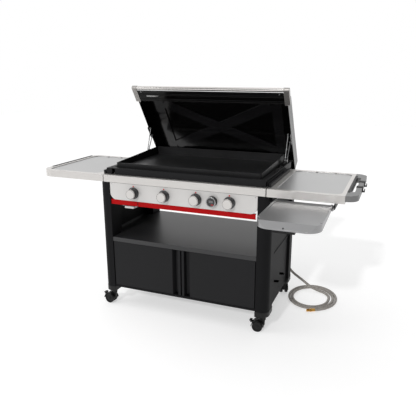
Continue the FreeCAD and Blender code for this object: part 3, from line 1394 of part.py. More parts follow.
def casters():
    """Each caster is drawn with its stem at the origin and its wheels trailing toward +X."""
    wheel_z = WHEEL_R
    web = FORK_WEB / 2
    wheel_in = web + WHEEL_GAP
    wheel_out = wheel_in + WHEEL_WIDTH
    hood_half = wheel_out + 1.0
    neck_top = FOOT_BOTTOM - CASTER_TOP_GAP
    hood = without(half_rod(HOOD_R + HOOD_WALL, hood_half), half_rod(HOOD_R, hood_half))
    body = prism(
        [
            (CASTER_TRAIL - BODY_FOOT, wheel_z - BODY_FOOT),
            (CASTER_TRAIL + BODY_FOOT, wheel_z - BODY_FOOT),
            (CASTER_TRAIL + BODY_NOSE[0], wheel_z + BODY_NOSE[1]),
            (CASTER_TRAIL + BODY_SHOULDER[0], wheel_z + BODY_SHOULDER[1]),
            (BODY_TOP_HALF, neck_top - BODY_TOP_DROP),
            (-BODY_TOP_HALF, neck_top - BODY_TOP_DROP),
            (-BODY_BACK[0], wheel_z + BODY_BACK[1]),
        ],
        "y",
        -web,
        web,
    )
    neck = rod(CASTER_NECK_R, (0, 0, neck_top - NECK_LENGTH), (0, 0, neck_top))
    stem = rod(CASTER_STEM_R, (0, 0, neck_top), (0, 0, neck_top + CASTER_STEM_LENGTH))
    bore = rod(AXLE_R + AXLE_FIT, (CASTER_TRAIL, -BORE_HALF, wheel_z), (CASTER_TRAIL, BORE_HALF, wheel_z))
    lever_x = lever_reach()
    lever_z = lever_height()
    lug_half = web - LUG_STEP
    lug = joined(
        box(CASTER_TRAIL + BODY_REACH, lever_x, -lug_half, lug_half, lever_z - LUG_R, lever_z + LUG_R),
        rod(LUG_R, (lever_x, -lug_half, lever_z), (lever_x, lug_half, lever_z)),
    )
    lug_bore = rod(LEVER_PIN_R + LEVER_FIT, (lever_x, -BORE_HALF, lever_z), (lever_x, BORE_HALF, lever_z))
    upright = joined(joined(body, neck), stem)
    fork = without(joined(upright, hood), bore)
    braked_fork = without(joined(upright, lug, hood), bore, lug_bore)

    halves = []
    for side in (-1, 1):
        y0, y1 = side * wheel_in, side * wheel_out
        floor_y = y1 - side * DISH_DEPTH
        disc = rod(WHEEL_R, (CASTER_TRAIL, y0, wheel_z), (CASTER_TRAIL, y1, wheel_z))
        rims = [e for e in disc.Edges if e.Length > 6 * WHEEL_R]
        disc = disc.makeFillet(TYRE_ROUND, rims)
        dish = without(
            rod(WHEEL_R - TYRE_WALL, (CASTER_TRAIL, floor_y, wheel_z), (CASTER_TRAIL, y1, wheel_z)),
            rod(HUB_R, (CASTER_TRAIL, floor_y, wheel_z), (CASTER_TRAIL, y1, wheel_z)),
        )
        halves.append(without(disc, dish))
    axle = rod(AXLE_R, (CASTER_TRAIL, -wheel_out, wheel_z), (CASTER_TRAIL, wheel_out, wheel_z))
    wheels = joined(*halves, axle)

    half = lug_half + WHEEL_GAP / 2
    plate_low = lever_z + LUG_R + WHEEL_GAP
    plate_top = plate_low + LEVER_THICK
    plate_end = lever_x + LEVER_LENGTH
    near, far = lever_x - LUG_R, lever_x + LUG_R
    plate = box(near - PLATE_BACK, plate_end, -LEVER_WIDTH / 2, LEVER_WIDTH / 2, plate_low, plate_top)
    lever = joined(
        plate,
        box(near, far, half, half + LEVER_CHEEK, lever_z - LUG_R, plate_low),
        box(near, far, -half - LEVER_CHEEK, -half, lever_z - LUG_R, plate_low),
        rod(LEVER_PIN_R, (lever_x, -half, lever_z), (lever_x, half, lever_z)),
    )

    for name, (x, y) in caster_places().items():
        heading = HEADINGS[name]
        braked = name.startswith("front")
        save(f"{name}_caster_fork", turned(braked_fork if braked else fork, heading, x, y))
        save(f"{name}_wheels", turned(wheels, heading, x, y))
        if braked:
            save(f"{name}_brake_lever", turned(lever, heading, x, y))


def route_radii(points):
    """Largest tangent arc that each inner point of the hose route allows."""
    points = [V(*p) for p in points]
    radii = []
    for i in range(1, len(points) - 1):
        before = points[i - 1] - points[i]
        after = points[i + 1] - points[i]
        half_turn = (math.pi - before.getAngle(after)) / 2
        radii.append(0.45 * min(before.Length, after.Length) / math.tan(half_turn))
    return radii


def spiral_point(turn):
    """Point on the hose coil, clockwise seen from above, where turn counts whole turns from its start."""
    angle = math.radians(COIL_START) - 2 * math.pi * turn
    grow = COIL_PITCH * turn - COIL_LEAD_IN * max(0.0, 1 - turn / COIL_LEAD_TURNS) ** 2
    x = COIL_CENTRE[0] + (COIL_INNER[0] + grow) * math.cos(angle)
    y = COIL_CENTRE[1] + (COIL_INNER[1] + grow) * math.sin(angle)
    return V(x, y, HOSE_CENTRE_Z)


def spiral_tangent(turn):
    step = 1e-5
    return (spiral_point(turn + step) - spiral_point(turn - step)).normalize()


def biarc(start, start_along, end, end_along):
    """Two arcs, tangent at both ends and to each other."""
    span = end - start
    both = start_along + end_along
    a = 2 * (1 - start_along.dot(end_along))
    b = 2 * span.dot(both)
    c = -span.dot(span)
    reach = (-b + math.sqrt(b * b - 4 * a * c)) / (2 * a)
    control_start = start + start_along * reach
    control_end = end - end_along * reach
    joint = (control_start + control_end) * 0.5
    edges = []
    for first, control, last in ((start, control_start, joint), (joint, control_end, end)):
        to_first = (first - control).normalize()
        to_last = (last - control).normalize()
        half = to_first.getAngle(to_last) / 2
        radius = reach * math.tan(half)
        middle = control + (to_first + to_last).normalize() * (radius / math.sin(half) - radius)
        edges.append(Part.Arc(first, middle, last).toShape())
    return edges


def hose():
    start = spiral_point(0)
    along = spiral_tangent(0)
    lead = start - along * (2 * HOSE_R)
    route = list(HOSE_ROUTE) + [tuple(lead - along * COIL_APPROACH), tuple(lead)]
    radii = route_radii(route)
    run_wire = smooth_path(route, radii)
    run = pipe(run_wire, HOSE_R)

    count = int(round(COIL_TURNS * 4))
    turns = [COIL_TURNS * k / count for k in range(count + 1)]
    edges = [Part.LineSegment(lead, start).toShape()]
    for first, last in zip(turns, turns[1:]):
        edges += biarc(spiral_point(first), spiral_tangent(first), spiral_point(last), spiral_tangent(last))
    end = spiral_point(COIL_TURNS)
    end_along = spiral_tangent(COIL_TURNS)
    tail = end + end_along * (2 * HOSE_R)
    edges.append(Part.LineSegment(end, tail).toShape())
    coil_wire = Part.Wire(edges)
    coil = pipe(coil_wire, HOSE_R)

    fitting = []
    at = tail
    for length, radius in FITTING_PARTS:
        after = at + end_along * length
        fitting.append(rod(radius, tuple(at), tuple(after)))
        at = after
    save("gas_hose_run", run)
    save("gas_hose_coil", coil)
    save("hose_end_fitting", joined(*fitting))

    steps = 240
    samples = [spiral_point(COIL_TURNS * k / steps) for k in range(steps + 1)]
    skip = int(steps / COIL_TURNS / 2)
    least = min(
        (samples[i] - samples[j]).Length for i in range(steps + 1) for j in range(i + skip, steps + 1)
    )
    area = math.pi * HOSE_R ** 2
    print("hose arcs, mm:", [round(r) for r in radii])
    print("hose run", round(run_wire.Length), "mm, coil", round(coil_wire.Length), "mm")
    print("least gap between coil turns", round(least - 2 * HOSE_R, 2), "mm")
    print("run volume ratio", round(run.Volume / (area * run_wire.Length), 4))
    print("coil volume ratio", round(coil.Volume / (area * coil_wire.Length), 4))


CORD_NODES = ("gas_hose_run", "gas_hose_coil", "hose_end_fitting")


def origin_of_part():
    """Middle of the footprint, measured on every piece but the hose."""
    total = FreeCAD.BoundBox()
    for name, shapes in nodes.items():
        if name in CORD_NODES:
            continue
        for shape in shapes:
            total.add(shape.optimalBoundingBox(False))
    return V((total.XMin + total.XMax) / 2, (total.YMin + total.YMax) / 2, total.ZMin)


def write_parts():
    os.makedirs("parts", exist_ok=True)
    origin = origin_of_part()
    for name, shapes in nodes.items():
        solids = []
        for shape in shapes:
            solids += shape.Solids
        group = Part.makeCompound(solids) if len(solids) > 1 else solids[0]
        group.translate(origin * -1)
        group.exportStep(f"parts/{name}.step")
    print(len(nodes), "nodes, origin at", [round(v, 3) for v in origin])


legs()
side_panels()
bottom_rails()
cabinet()
doors()
front_panels()
controls()
grease_parts()
cookbox()
griddle()
gas_parts()
lid_links(*lid())
tables()
pull_out_tray()
casters()
hose()
write_parts()
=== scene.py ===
import math

import bmesh
import bpy
from mathutils import Matrix, Vector


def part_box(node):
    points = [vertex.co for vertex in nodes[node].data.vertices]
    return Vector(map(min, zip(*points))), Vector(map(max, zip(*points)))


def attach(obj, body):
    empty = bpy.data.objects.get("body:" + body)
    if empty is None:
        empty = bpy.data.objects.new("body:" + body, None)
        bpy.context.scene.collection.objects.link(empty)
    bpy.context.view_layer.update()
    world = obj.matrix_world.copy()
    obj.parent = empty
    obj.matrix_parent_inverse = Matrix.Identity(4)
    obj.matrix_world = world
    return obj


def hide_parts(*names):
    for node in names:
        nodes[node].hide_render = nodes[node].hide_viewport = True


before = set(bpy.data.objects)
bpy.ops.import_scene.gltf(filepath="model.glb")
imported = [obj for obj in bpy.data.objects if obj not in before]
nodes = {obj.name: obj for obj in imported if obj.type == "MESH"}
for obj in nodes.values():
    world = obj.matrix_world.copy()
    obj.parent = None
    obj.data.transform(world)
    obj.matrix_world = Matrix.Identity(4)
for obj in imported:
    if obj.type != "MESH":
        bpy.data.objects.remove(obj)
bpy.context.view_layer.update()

# Sizes below are in the CAD source's millimetres: X = 0 is the cart's middle, Y = 0 the control panel's front
# and Z = 0 the ground. The legs stand evenly about the middle and the panel's skin starts 1 mm back, which
# gives the move into the frame.
MM = 0.001
PANEL_BACK = 1.0
legs_low, legs_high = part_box("legs")
panel_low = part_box("control_panel")[0]
MOVE = Vector(((legs_low[0] + legs_high[0]) / 2, panel_low[1] - PANEL_BACK * MM, 0.0))



def at(x, y, z):
    return Vector((x, y, z)) * MM + MOVE


# ---------------------------------------------------------------- camera, floor and light

CAMERA_AT = (1195.8, -2548.5, 1532.1)
CAMERA_AZIMUTH = 21.70
CAMERA_PITCH = 15.78
FOCAL_PIXELS = 490.0
IMAGE_PIXELS = 416.0
SENSOR_WIDTH = 36.0
CLIP_END = 50.0

scene = bpy.context.scene
camera_data = bpy.data.cameras.new("camera")
camera_data.sensor_width = SENSOR_WIDTH
camera_data.lens = FOCAL_PIXELS / IMAGE_PIXELS * SENSOR_WIDTH
camera_data.clip_end = CLIP_END
camera = bpy.data.objects.new("camera", camera_data)
scene.collection.objects.link(camera)
camera.location = at(*CAMERA_AT)
camera.rotation_euler = (math.radians(90.0 - CAMERA_PITCH), 0.0, math.radians(CAMERA_AZIMUTH))
scene.camera = camera

scene.view_settings.view_transform = "Standard"
scene.view_settings.look = "None"

# How bright the studio is in front, at the right and overhead, and over which part of the sky each one fades.
FRONT_LEVEL = 0.16
RIGHT_LEVEL = 0.3
TOP_LEVEL = 0.9
FRONT_FADE = (-0.35, 0.25)
RIGHT_FADE = (0.25, 0.8)
TOP_FADE = (0.45, 0.95)
WHITE = (1.0, 1.0, 1.0, 1.0)


def ranged(tree, links, source, span, result, interpolation="LINEAR"):
    """Output of a node that carries a value from one span to another."""
    node = tree.new("ShaderNodeMapRange")
    node.interpolation_type = interpolation
    for name, value in zip(("From Min", "From Max", "To Min", "To Max"), (*span, *result)):
        node.inputs[name].default_value = value
    links.new(source, node.inputs["Value"])
    return node.outputs["Result"]


def combined(tree, links, operation, first, second):
    """Output of a maths node on two values."""
    node = tree.new("ShaderNodeMath")
    node.operation = operation
    links.new(first, node.inputs[0])
    links.new(second, node.inputs[1])
    return node.outputs["Value"]


def studio_world():
    """Soft white studio: white behind the object and above it, darker in front of it and to its right."""
    world = bpy.data.worlds.new("studio")
    scene.world = world
    world.use_nodes = True
    tree, links = world.node_tree.nodes, world.node_tree.links
    direction = tree.new("ShaderNodeTexCoord")
    parts = tree.new("ShaderNodeSeparateXYZ")
    links.new(direction.outputs["Generated"], parts.inputs["Vector"])
    front = ranged(tree, links, parts.outputs["Y"], FRONT_FADE, (FRONT_LEVEL, 1.0), "SMOOTHSTEP")
    top = ranged(tree, links, parts.outputs["Z"], TOP_FADE, (0.0, TOP_LEVEL), "SMOOTHSTEP")
    right = ranged(tree, links, parts.outputs["X"], RIGHT_FADE, (1.0, RIGHT_LEVEL), "SMOOTHSTEP")
    side = combined(tree, links, "MULTIPLY", front, right)
    background = tree["Background"]
    links.new(combined(tree, links, "MAXIMUM", side, top), background.inputs["Strength"])
    background.inputs["Color"].default_value = WHITE


studio_world()

SUN_STRENGTH = 1.25
SUN_SPREAD = 3.0
SUN_HEADING = (0.14, 1.58, -1.0)
sun_data = bpy.data.lights.new("sun", "SUN")
sun_data.energy = SUN_STRENGTH
sun_data.angle = math.radians(SUN_SPREAD)
sun = bpy.data.objects.new("sun", sun_data)
scene.collection.objects.link(sun)
sun.rotation_euler = Vector(SUN_HEADING).to_track_quat("-Z", "Y").to_euler()

KEY_SIZE = (2.0, 2.4)
KEY_POWER = 40.0
KEY_AT = (-3000, -1600, 2600)
KEY_AIM = (0, 200, 700)
key_data = bpy.data.lights.new("key", "AREA")
key_data.shape = "RECTANGLE"
key_data.size, key_data.size_y = KEY_SIZE
key_data.energy = KEY_POWER
key = bpy.data.objects.new("key", key_data)
scene.collection.objects.link(key)
key.location = at(*KEY_AT)
key.rotation_euler = (at(*KEY_AIM) - key.location).to_track_quat("-Z", "Y").to_euler()

FLOOR_HALF = 12.0
FLOOR_DROP = 0.0005
FLOOR_GLOW = 0.5
floor_mesh = bpy.data.meshes.new("floor")
floor_mesh.from_pydata(
    [(x * FLOOR_HALF, y * FLOOR_HALF, -FLOOR_DROP) for x, y in ((-1, -1), (1, -1), (1, 1), (-1, 1))],
    [], [(0, 1, 2, 3)],
)
floor = bpy.data.objects.new("floor", floor_mesh)
scene.collection.objects.link(floor)


# ---------------------------------------------------------------- materials

NOISE_SPAN = (0.3, 0.7)
WORN_SPAN = (0.51, 0.56)
CLOUD_DETAIL = 4.0
FINE_DETAIL = 3.0
SMOOTHEST = 0.02
BUMP_STRENGTH = 0.6
ROUNDING_SAMPLES = 6


def new_material(name):
    material = bpy.data.materials.new(name)
    material.use_nodes = True
    shader = material.node_tree.nodes["Principled BSDF"]
    return material, shader, material.node_tree.nodes, material.node_tree.links


def linear(value):
    return value / 12.92 if value <= 0.04045 else ((value + 0.055) / 1.055) ** 2.4


def tone(red, green, blue):
    """Colour from its 0 to 255 screen values."""
    return tuple(linear(v / 255.0) for v in (red, green, blue)) + (1.0,)


def noise(tree, links, coordinates, scale, detail):
    node = tree.new("ShaderNodeTexNoise")
    node.inputs["Scale"].default_value = scale
    node.inputs["Detail"].default_value = detail
    links.new(coordinates, node.inputs["Vector"])
    return node.outputs["Fac"]


def raised(tree, links, source, strength, distance, shader):
    """Bump on the shader's normal."""
    node = tree.new("ShaderNodeBump")
    node.inputs["Strength"].default_value = strength
    node.inputs["Distance"].default_value = distance
    links.new(source, node.inputs["Height"])
    links.new(node.outputs["Normal"], shader.inputs["Normal"])
    return node


def finish_material(
    name,
    colour,
    roughness,
    metallic=0.0,
    variation=0.08,
    variation_scale=6.0,
    grain_scale=900.0,
    grain=0.05,
    bump=0.0002,
    stretch=(1.0, 1.0, 1.0),
    rough_spread=0.06,
    coat=0.0,
    coat_roughness=0.1,
    specular=0.5,
    edge_wear=0.0,
    edge_colour=(0.5, 0.5, 0.5, 1.0),
    edge_round=0.0,
):
    """Layered surface: cloudy colour change, fine grain in colour and height, and lighter worn edges."""
    material, shader, tree, links = new_material(name)
    coords = tree.new("ShaderNodeTexCoord")
    mapping = tree.new("ShaderNodeMapping")
    mapping.inputs["Scale"].default_value = stretch
    links.new(coords.outputs["Object"], mapping.inputs["Vector"])
    cloud = noise(tree, links, coords.outputs["Object"], variation_scale, CLOUD_DETAIL)
    fine = noise(tree, links, mapping.outputs["Vector"], grain_scale, FINE_DETAIL)

    shade = ranged(tree, links, cloud, NOISE_SPAN, (1.0 - variation, 1.0 + variation))
    speckle = ranged(tree, links, fine, NOISE_SPAN, (1.0 - grain, 1.0 + grain))
    scaled = tree.new("ShaderNodeVectorMath")
    scaled.operation = "SCALE"
    scaled.inputs[0].default_value = colour[:3]
    links.new(combined(tree, links, "MULTIPLY", shade, speckle), scaled.inputs["Scale"])
    last = scaled.outputs["Vector"]
    if edge_wear > 0.0:
        geometry = tree.new("ShaderNodeNewGeometry")
        mix = tree.new("ShaderNodeMix")
        mix.data_type = "RGBA"
        worn = ranged(tree, links, geometry.outputs["Pointiness"], WORN_SPAN, (0.0, edge_wear))
        links.new(worn, mix.inputs["Factor"])
        links.new(last, mix.inputs["A"])
        mix.inputs["B"].default_value = edge_colour
        last = mix.outputs["Result"]
    links.new(last, shader.inputs["Base Color"])

    smoother = max(SMOOTHEST, roughness - rough_spread)
    rougher = min(1.0, roughness + rough_spread)
    links.new(ranged(tree, links, fine, NOISE_SPAN, (smoother, rougher)), shader.inputs["Roughness"])
    height = raised(tree, links, fine, BUMP_STRENGTH, bump, shader)
    if edge_round > 0.0:
        rounding = tree.new("ShaderNodeBevel")
        rounding.samples = ROUNDING_SAMPLES
        rounding.inputs["Radius"].default_value = edge_round
        links.new(rounding.outputs["Normal"], height.inputs["Normal"])
    shader.inputs["Metallic"].default_value = metallic
    shader.inputs["Specular IOR Level"].default_value = specular
    shader.inputs["Coat Weight"].default_value = coat
    shader.inputs["Coat Roughness"].default_value = coat_roughness
    return material


LINES_X = (0.006, 1.0, 1.0)
black_steel = finish_material("black_steel", tone(9, 9, 10), 0.46, grain_scale=1400, bump=0.00005,
                              variation=0.12, specular=0.14, edge_wear=0.3, edge_colour=tone(52, 52, 54),
                              edge_round=0.0012)
leg_black = finish_material("leg_black", tone(6, 6, 6), 0.5, grain_scale=1400, bump=0.00005, variation=0.1,
                            specular=0.05, edge_wear=0.3, edge_colour=tone(48, 48, 50), edge_round=0.0012)
shelf_black = finish_material("shelf_black", tone(26, 26, 27), 0.38, grain_scale=1400, bump=0.0001,
                              variation=0.1, specular=0.5, edge_wear=0.3, edge_colour=tone(60, 60, 62),
                              edge_round=0.0012)
lid_black = finish_material("lid_black", tone(4, 4, 4), 0.13, grain_scale=1100, bump=0.00002, variation=0.2,
                            variation_scale=3.0, specular=0.35, edge_wear=0.3, edge_colour=tone(44, 44, 46),
                            edge_round=0.0015)
brushed = finish_material("brushed_steel", tone(212, 209, 206), 0.34, metallic=0.75, grain_scale=900,
                          grain=0.06, stretch=LINES_X, bump=0.00005, variation=0.02, edge_round=0.001)
handle_steel = finish_material("handle_steel", tone(222, 219, 216), 0.2, metallic=0.9, grain_scale=600,
                               grain=0.015, stretch=LINES_X, bump=0.000006, variation=0.01,
                               rough_spread=0.02)
end_steel = finish_material("end_steel", tone(176, 173, 170), 0.3, metallic=0.8, grain_scale=900, grain=0.03,
                            bump=0.00001, variation=0.02, edge_round=0.0015)
link_steel = finish_material("link_steel", tone(120, 120, 121), 0.32, metallic=0.85, grain_scale=900,
                             grain=0.06, bump=0.00003, variation=0.05)
panel_grey = finish_material("panel_grey", tone(206, 204, 202), 0.42, metallic=0.3, grain_scale=1500,
                             grain=0.03, bump=0.00003, variation=0.02, edge_round=0.001)
table_grey = finish_material("table_grey", tone(184, 184, 184), 0.36, metallic=0.8, grain_scale=1300,
                             grain=0.05, bump=0.0001, variation=0.03, variation_scale=2.5, edge_round=0.001)
tray_grey = finish_material("tray_grey", tone(154, 154, 155), 0.36, metallic=0.8, grain_scale=1300,
                            grain=0.05, bump=0.0001, variation=0.03, variation_scale=2.5, edge_round=0.001)
grab_grey = finish_material("grab_grey", tone(122, 122, 122), 0.42, metallic=0.4, grain_scale=1500,
                            grain=0.05, bump=0.0001, variation=0.04, edge_round=0.002)
red_paint = finish_material("red_paint", tone(168, 7, 11), 0.38, grain_scale=1200, grain=0.03, bump=0.00003,
                            variation=0.04, coat=0.02, specular=0.08, edge_round=0.001)
griddle_steel = finish_material("griddle_steel", tone(34, 34, 35), 0.42, metallic=0.35, grain_scale=420,
                                grain=0.14, bump=0.0002, variation=0.25, variation_scale=5.0,
                                rough_spread=0.1, specular=0.4, edge_round=0.001)
galvanised = finish_material("galvanised", tone(196, 196, 196), 0.34, metallic=0.85, grain_scale=160,
                             grain=0.1, bump=0.00004, variation=0.08, variation_scale=30.0,
                             edge_round=0.0008)
brass = finish_material("brass", tone(214, 165, 84), 0.26, metallic=0.95, grain_scale=1200, grain=0.06,
                        bump=0.00004, variation=0.05)
pipe_metal = finish_material("gas_pipe", tone(170, 170, 170), 0.36, metallic=0.9, grain_scale=900,
                             bump=0.00003)
knob_face_metal = finish_material("knob_face", tone(208, 205, 202), 0.36, metallic=0.4, grain_scale=1500,
                                  grain=0.03, bump=0.00003, variation=0.01)
knob_black = finish_material("knob_black", tone(34, 34, 35), 0.42, grain_scale=1600, bump=0.00006,
                             edge_wear=0.3, edge_colour=tone(90, 90, 92))
plastic = finish_material("black_plastic", tone(13, 13, 13), 0.45, grain_scale=1800, bump=0.00012,
                          variation=0.08, specular=0.3, edge_round=0.001)
strip_grey = finish_material("strip_grey", tone(32, 32, 33), 0.5, grain_scale=1500, bump=0.0001, specular=0.3)
glass = finish_material("display_glass", tone(6, 6, 8), 0.08, grain_scale=30, grain=0.02, bump=0.0,
                        variation=0.02, coat=0.5, coat_roughness=0.03, rough_spread=0.02)
rubber = finish_material("wheel_rubber", tone(12, 12, 12), 0.5, grain_scale=700, grain=0.12, bump=0.00015,
                         variation=0.15, specular=0.3, edge_round=0.001)
red_mark = finish_material("red_mark", tone(200, 26, 32), 0.4, grain_scale=1500, bump=0.0)
pale_mark = finish_material("pale_mark", tone(170, 170, 172), 0.4, grain_scale=1500, bump=0.0)
dark_mark = finish_material("dark_mark", tone(22, 22, 22), 0.6, grain_scale=1500, bump=0.0, specular=0.1)
bolt_metal = finish_material("bolt_metal", tone(40, 40, 42), 0.34, metallic=0.8, grain_scale=1500,
                             bump=0.00003)
bright_bolt = finish_material("bright_bolt", tone(190, 190, 190), 0.28, metallic=0.95, grain_scale=1500,
                              bump=0.00003)

floor_material = finish_material("floor", (0.6, 0.6, 0.6, 1.0), 0.9, grain_scale=60, grain=0.004, bump=0.0,
                                 variation=0.004, specular=0.0)
floor_shader = floor_material.node_tree.nodes["Principled BSDF"]
floor_shader.inputs["Emission Color"].default_value = WHITE
floor_shader.inputs["Emission Strength"].default_value = FLOOR_GLOW
floor_mesh.materials.append(floor_material)


BRAID_ANGLE = 45.0
BRAID_SCALE = 3.2
BRAID_WAVER = 0.4
BRAID_STRENGTH = 0.7
BRAID_DEPTH = 0.0006
BRAID_ROUGHNESS = 0.55
BRAID_TONES = ((0.25, tone(98, 94, 90)), (0.9, tone(172, 167, 161)))


def hose_material():
    """Braided cover: two crossed sets of threads laid out along the hose and round it."""
    material, shader, tree, links = new_material("hose_cover")
    uv = tree.new("ShaderNodeTexCoord")
    heights = []
    for turn in (BRAID_ANGLE, -BRAID_ANGLE):
        skew = tree.new("ShaderNodeMapping")
        skew.inputs["Rotation"].default_value = (0.0, 0.0, math.radians(turn))
        links.new(uv.outputs["UV"], skew.inputs["Vector"])
        wave = tree.new("ShaderNodeTexWave")
        wave.inputs["Scale"].default_value = BRAID_SCALE
        wave.inputs["Distortion"].default_value = BRAID_WAVER
        links.new(skew.outputs["Vector"], wave.inputs["Vector"])
        heights.append(wave.outputs["Fac"])
    weave = combined(tree, links, "MAXIMUM", *heights)
    ramp = tree.new("ShaderNodeValToRGB")
    for element, (position, colour) in zip(ramp.color_ramp.elements, BRAID_TONES):
        element.position = position
        element.color = colour
    links.new(weave, ramp.inputs["Fac"])
    links.new(ramp.outputs["Color"], shader.inputs["Base Color"])
    raised(tree, links, weave, BRAID_STRENGTH, BRAID_DEPTH, shader)
    shader.inputs["Roughness"].default_value = BRAID_ROUGHNESS
    return material


hose_cover = hose_material()

NODE_MATERIALS = {
    leg_black: ("legs", "bottom_rails", "door_hinge_pins", "side_panels"),
    black_steel: (
        "cabinet_floor_and_back", "left_door", "right_door", "cookbox", "lid_hinge_brackets",
        "tray_slide_rails", "drawer_guides",
    ),
    shelf_black: ("shelf",),
    lid_black: ("lid_shell", "lid_inner_frame"),
    brushed: ("upper_rail", "left_table_frame", "right_table_frame"),
    handle_steel: ("lid_handle_bar",),
    end_steel: ("lid_handle_ends",),
    link_steel: ("lid_front_links", "lid_rear_links"),
    panel_grey: ("control_panel",),
    table_grey: ("table_tops",),
    grab_grey: ("right_table_handle",),
    tray_grey: ("pull_out_tray",),
    red_paint: ("red_rail", "drawer_front"),
    griddle_steel: ("griddle_plate",),
    galvanised: ("drip_pan", "drawer_runners", "burner_tubes", "grease_chute"),
    brass: ("gas_manifold", "gas_inlet_fitting", "hose_end_fitting"),
    pipe_metal: ("gas_supply_pipe",),
    knob_black: ("knob_1", "knob_2", "knob_3", "knob_4"),
    plastic: (
        "knob_bezels", "thermometer_housing", "tool_hooks", "tray_grip", "foot_caps", "door_catches",
        "front_left_caster_fork", "front_right_caster_fork",
        "rear_left_caster_fork", "rear_right_caster_fork",
        "front_left_brake_lever", "front_right_brake_lever",
    ),
    strip_grey: ("table_end_strips",),
    glass: ("thermometer_face",),
    rubber: ("front_left_wheels", "front_right_wheels", "rear_left_wheels", "rear_right_wheels"),
    hose_cover: ("gas_hose_run", "gas_hose_coil"),
}
for material, names in NODE_MATERIALS.items():
    for name in names:
        node = nodes[name]
        if not node.material_slots:
            node.data.materials.append(material)
        for place in node.material_slots:
            place.material = material


# ---------------------------------------------------------------- mesh helpers

OUTWARD = (0, -1, 0)
INWARD = (0, 1, 0)
UPWARD = (0, 0, 1)
CREASE_ANGLE = 35.0
UPRIGHT = 0.9
WELD = 1e-6
FINE_WELD = 1e-7
BEVEL_SEGMENTS = 2
ROUND_PROFILE = 0.5


def add_piece(name, mesh, material, body):
    for face in mesh.polygons:
        face.use_smooth = True
    mesh.materials.append(material)
    piece = bpy.data.objects.new(name, mesh)
    scene.collection.objects.link(piece)
    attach(piece, body)
    return piece


def frame_along(axis):
    """The axis and two directions square to it."""
    axis = Vector(axis).normalized()
    helper = Vector((0, 0, 1)) if abs(axis.z) < UPRIGHT else Vector((1, 0, 0))
    side = axis.cross(helper).normalized()
    return axis, side, axis.cross(side)


def round_offset(side, up, angle, radius):
    """Way in metres from an axis to a point round it, for a radius in millimetres."""
    return (side * math.cos(angle) + up * math.sin(angle)) * radius * MM


def lathe_mesh(mesh, profile, origin, axis, segments, ribs=0, rib_depth=0.0, rib_rows=()):
    """Turned form: the profile is pairs of radius and distance along the axis, in millimetres."""
    axis, side, up = frame_along(axis)
    rings = []
    for row, (radius, distance) in enumerate(profile):
        if radius <= 0:
            rings.append([mesh.verts.new(origin + axis * distance * MM)])
            continue
        ring = []
        for k in range(segments):
            angle = 2 * math.pi * k / segments
            r = radius + (rib_depth * math.cos(ribs * angle) if row in rib_rows else 0.0)
            ring.append(mesh.verts.new(origin + round_offset(side, up, angle, r) + axis * distance * MM))
        rings.append(ring)
    faces = []
    for lower, upper in zip(rings, rings[1:]):
        for k in range(segments):
            following = (k + 1) % segments
            quad = []
            for ring, i in ((lower, k), (lower, following), (upper, following), (upper, k)):
                vert = ring[i % len(ring)]
                if vert not in quad:
                    quad.append(vert)
            if len(quad) > 2:
                faces.append(mesh.faces.new(quad))
    return faces


def finish_mesh(mesh, name):
    bmesh.ops.recalc_face_normals(mesh, faces=mesh.faces)
    data = bpy.data.meshes.new(name)
    mesh.to_mesh(data)
    mesh.free()
    return data


def sharpen(piece, angle=CREASE_ANGLE):
    """Keeps hard edges hard on a smooth-shaded piece."""
    mesh = piece.data
    work = bmesh.new()
    work.from_mesh(mesh)
    for edge in work.edges:
        if len(edge.link_faces) == 2 and edge.calc_face_angle(0.0) > math.radians(angle):
            edge.smooth = False
    work.to_mesh(mesh)
    work.free()


def lathe(name, profile, place, axis, material, body, segments):
    work = bmesh.new()
    lathe_mesh(work, profile, at(*place), axis, segments)
    piece = add_piece(name, finish_mesh(work, name), material, body)
    sharpen(piece)


def block(mesh, low, high, bevel):
    """Box with rounded edges, in source millimetres."""
    made = bmesh.ops.create_cube(mesh, size=1.0)
    low, high = at(*low), at(*high)
    middle, size = (low + high) / 2, high - low
    for vert in made["verts"]:
        vert.co = Vector(vert.co[i] * size[i] + middle[i] for i in range(3))
    edges = {edge for vert in made["verts"] for edge in vert.link_edges}
    bmesh.ops.bevel(mesh, geom=list(edges), offset=bevel * MM, segments=BEVEL_SEGMENTS, affect="EDGES",
                    profile=ROUND_PROFILE)


def blocks(name, boxes, material, body, bevel, turned=None):
    """Rounded boxes in one piece, which a matrix may carry to their place."""
    work = bmesh.new()
    for low, high in boxes:
        block(work, low, high, bevel)
    if turned is not None:
        bmesh.ops.transform(work, matrix=turned, verts=work.verts)
    piece = add_piece(name, finish_mesh(work, name), material, body)
    sharpen(piece)


# Parts of a screw head's radius and height.
HEAD_SIDES = 32
HEX_SIDES = 6
HEAD_FLAT = 0.7
HEAD_ROUND = 0.9
HEAD_WALL = 0.6
HEAD_SHOULDER = 0.9
SOCKET_WIDTH = 0.5
SOCKET_DEPTH = 0.55


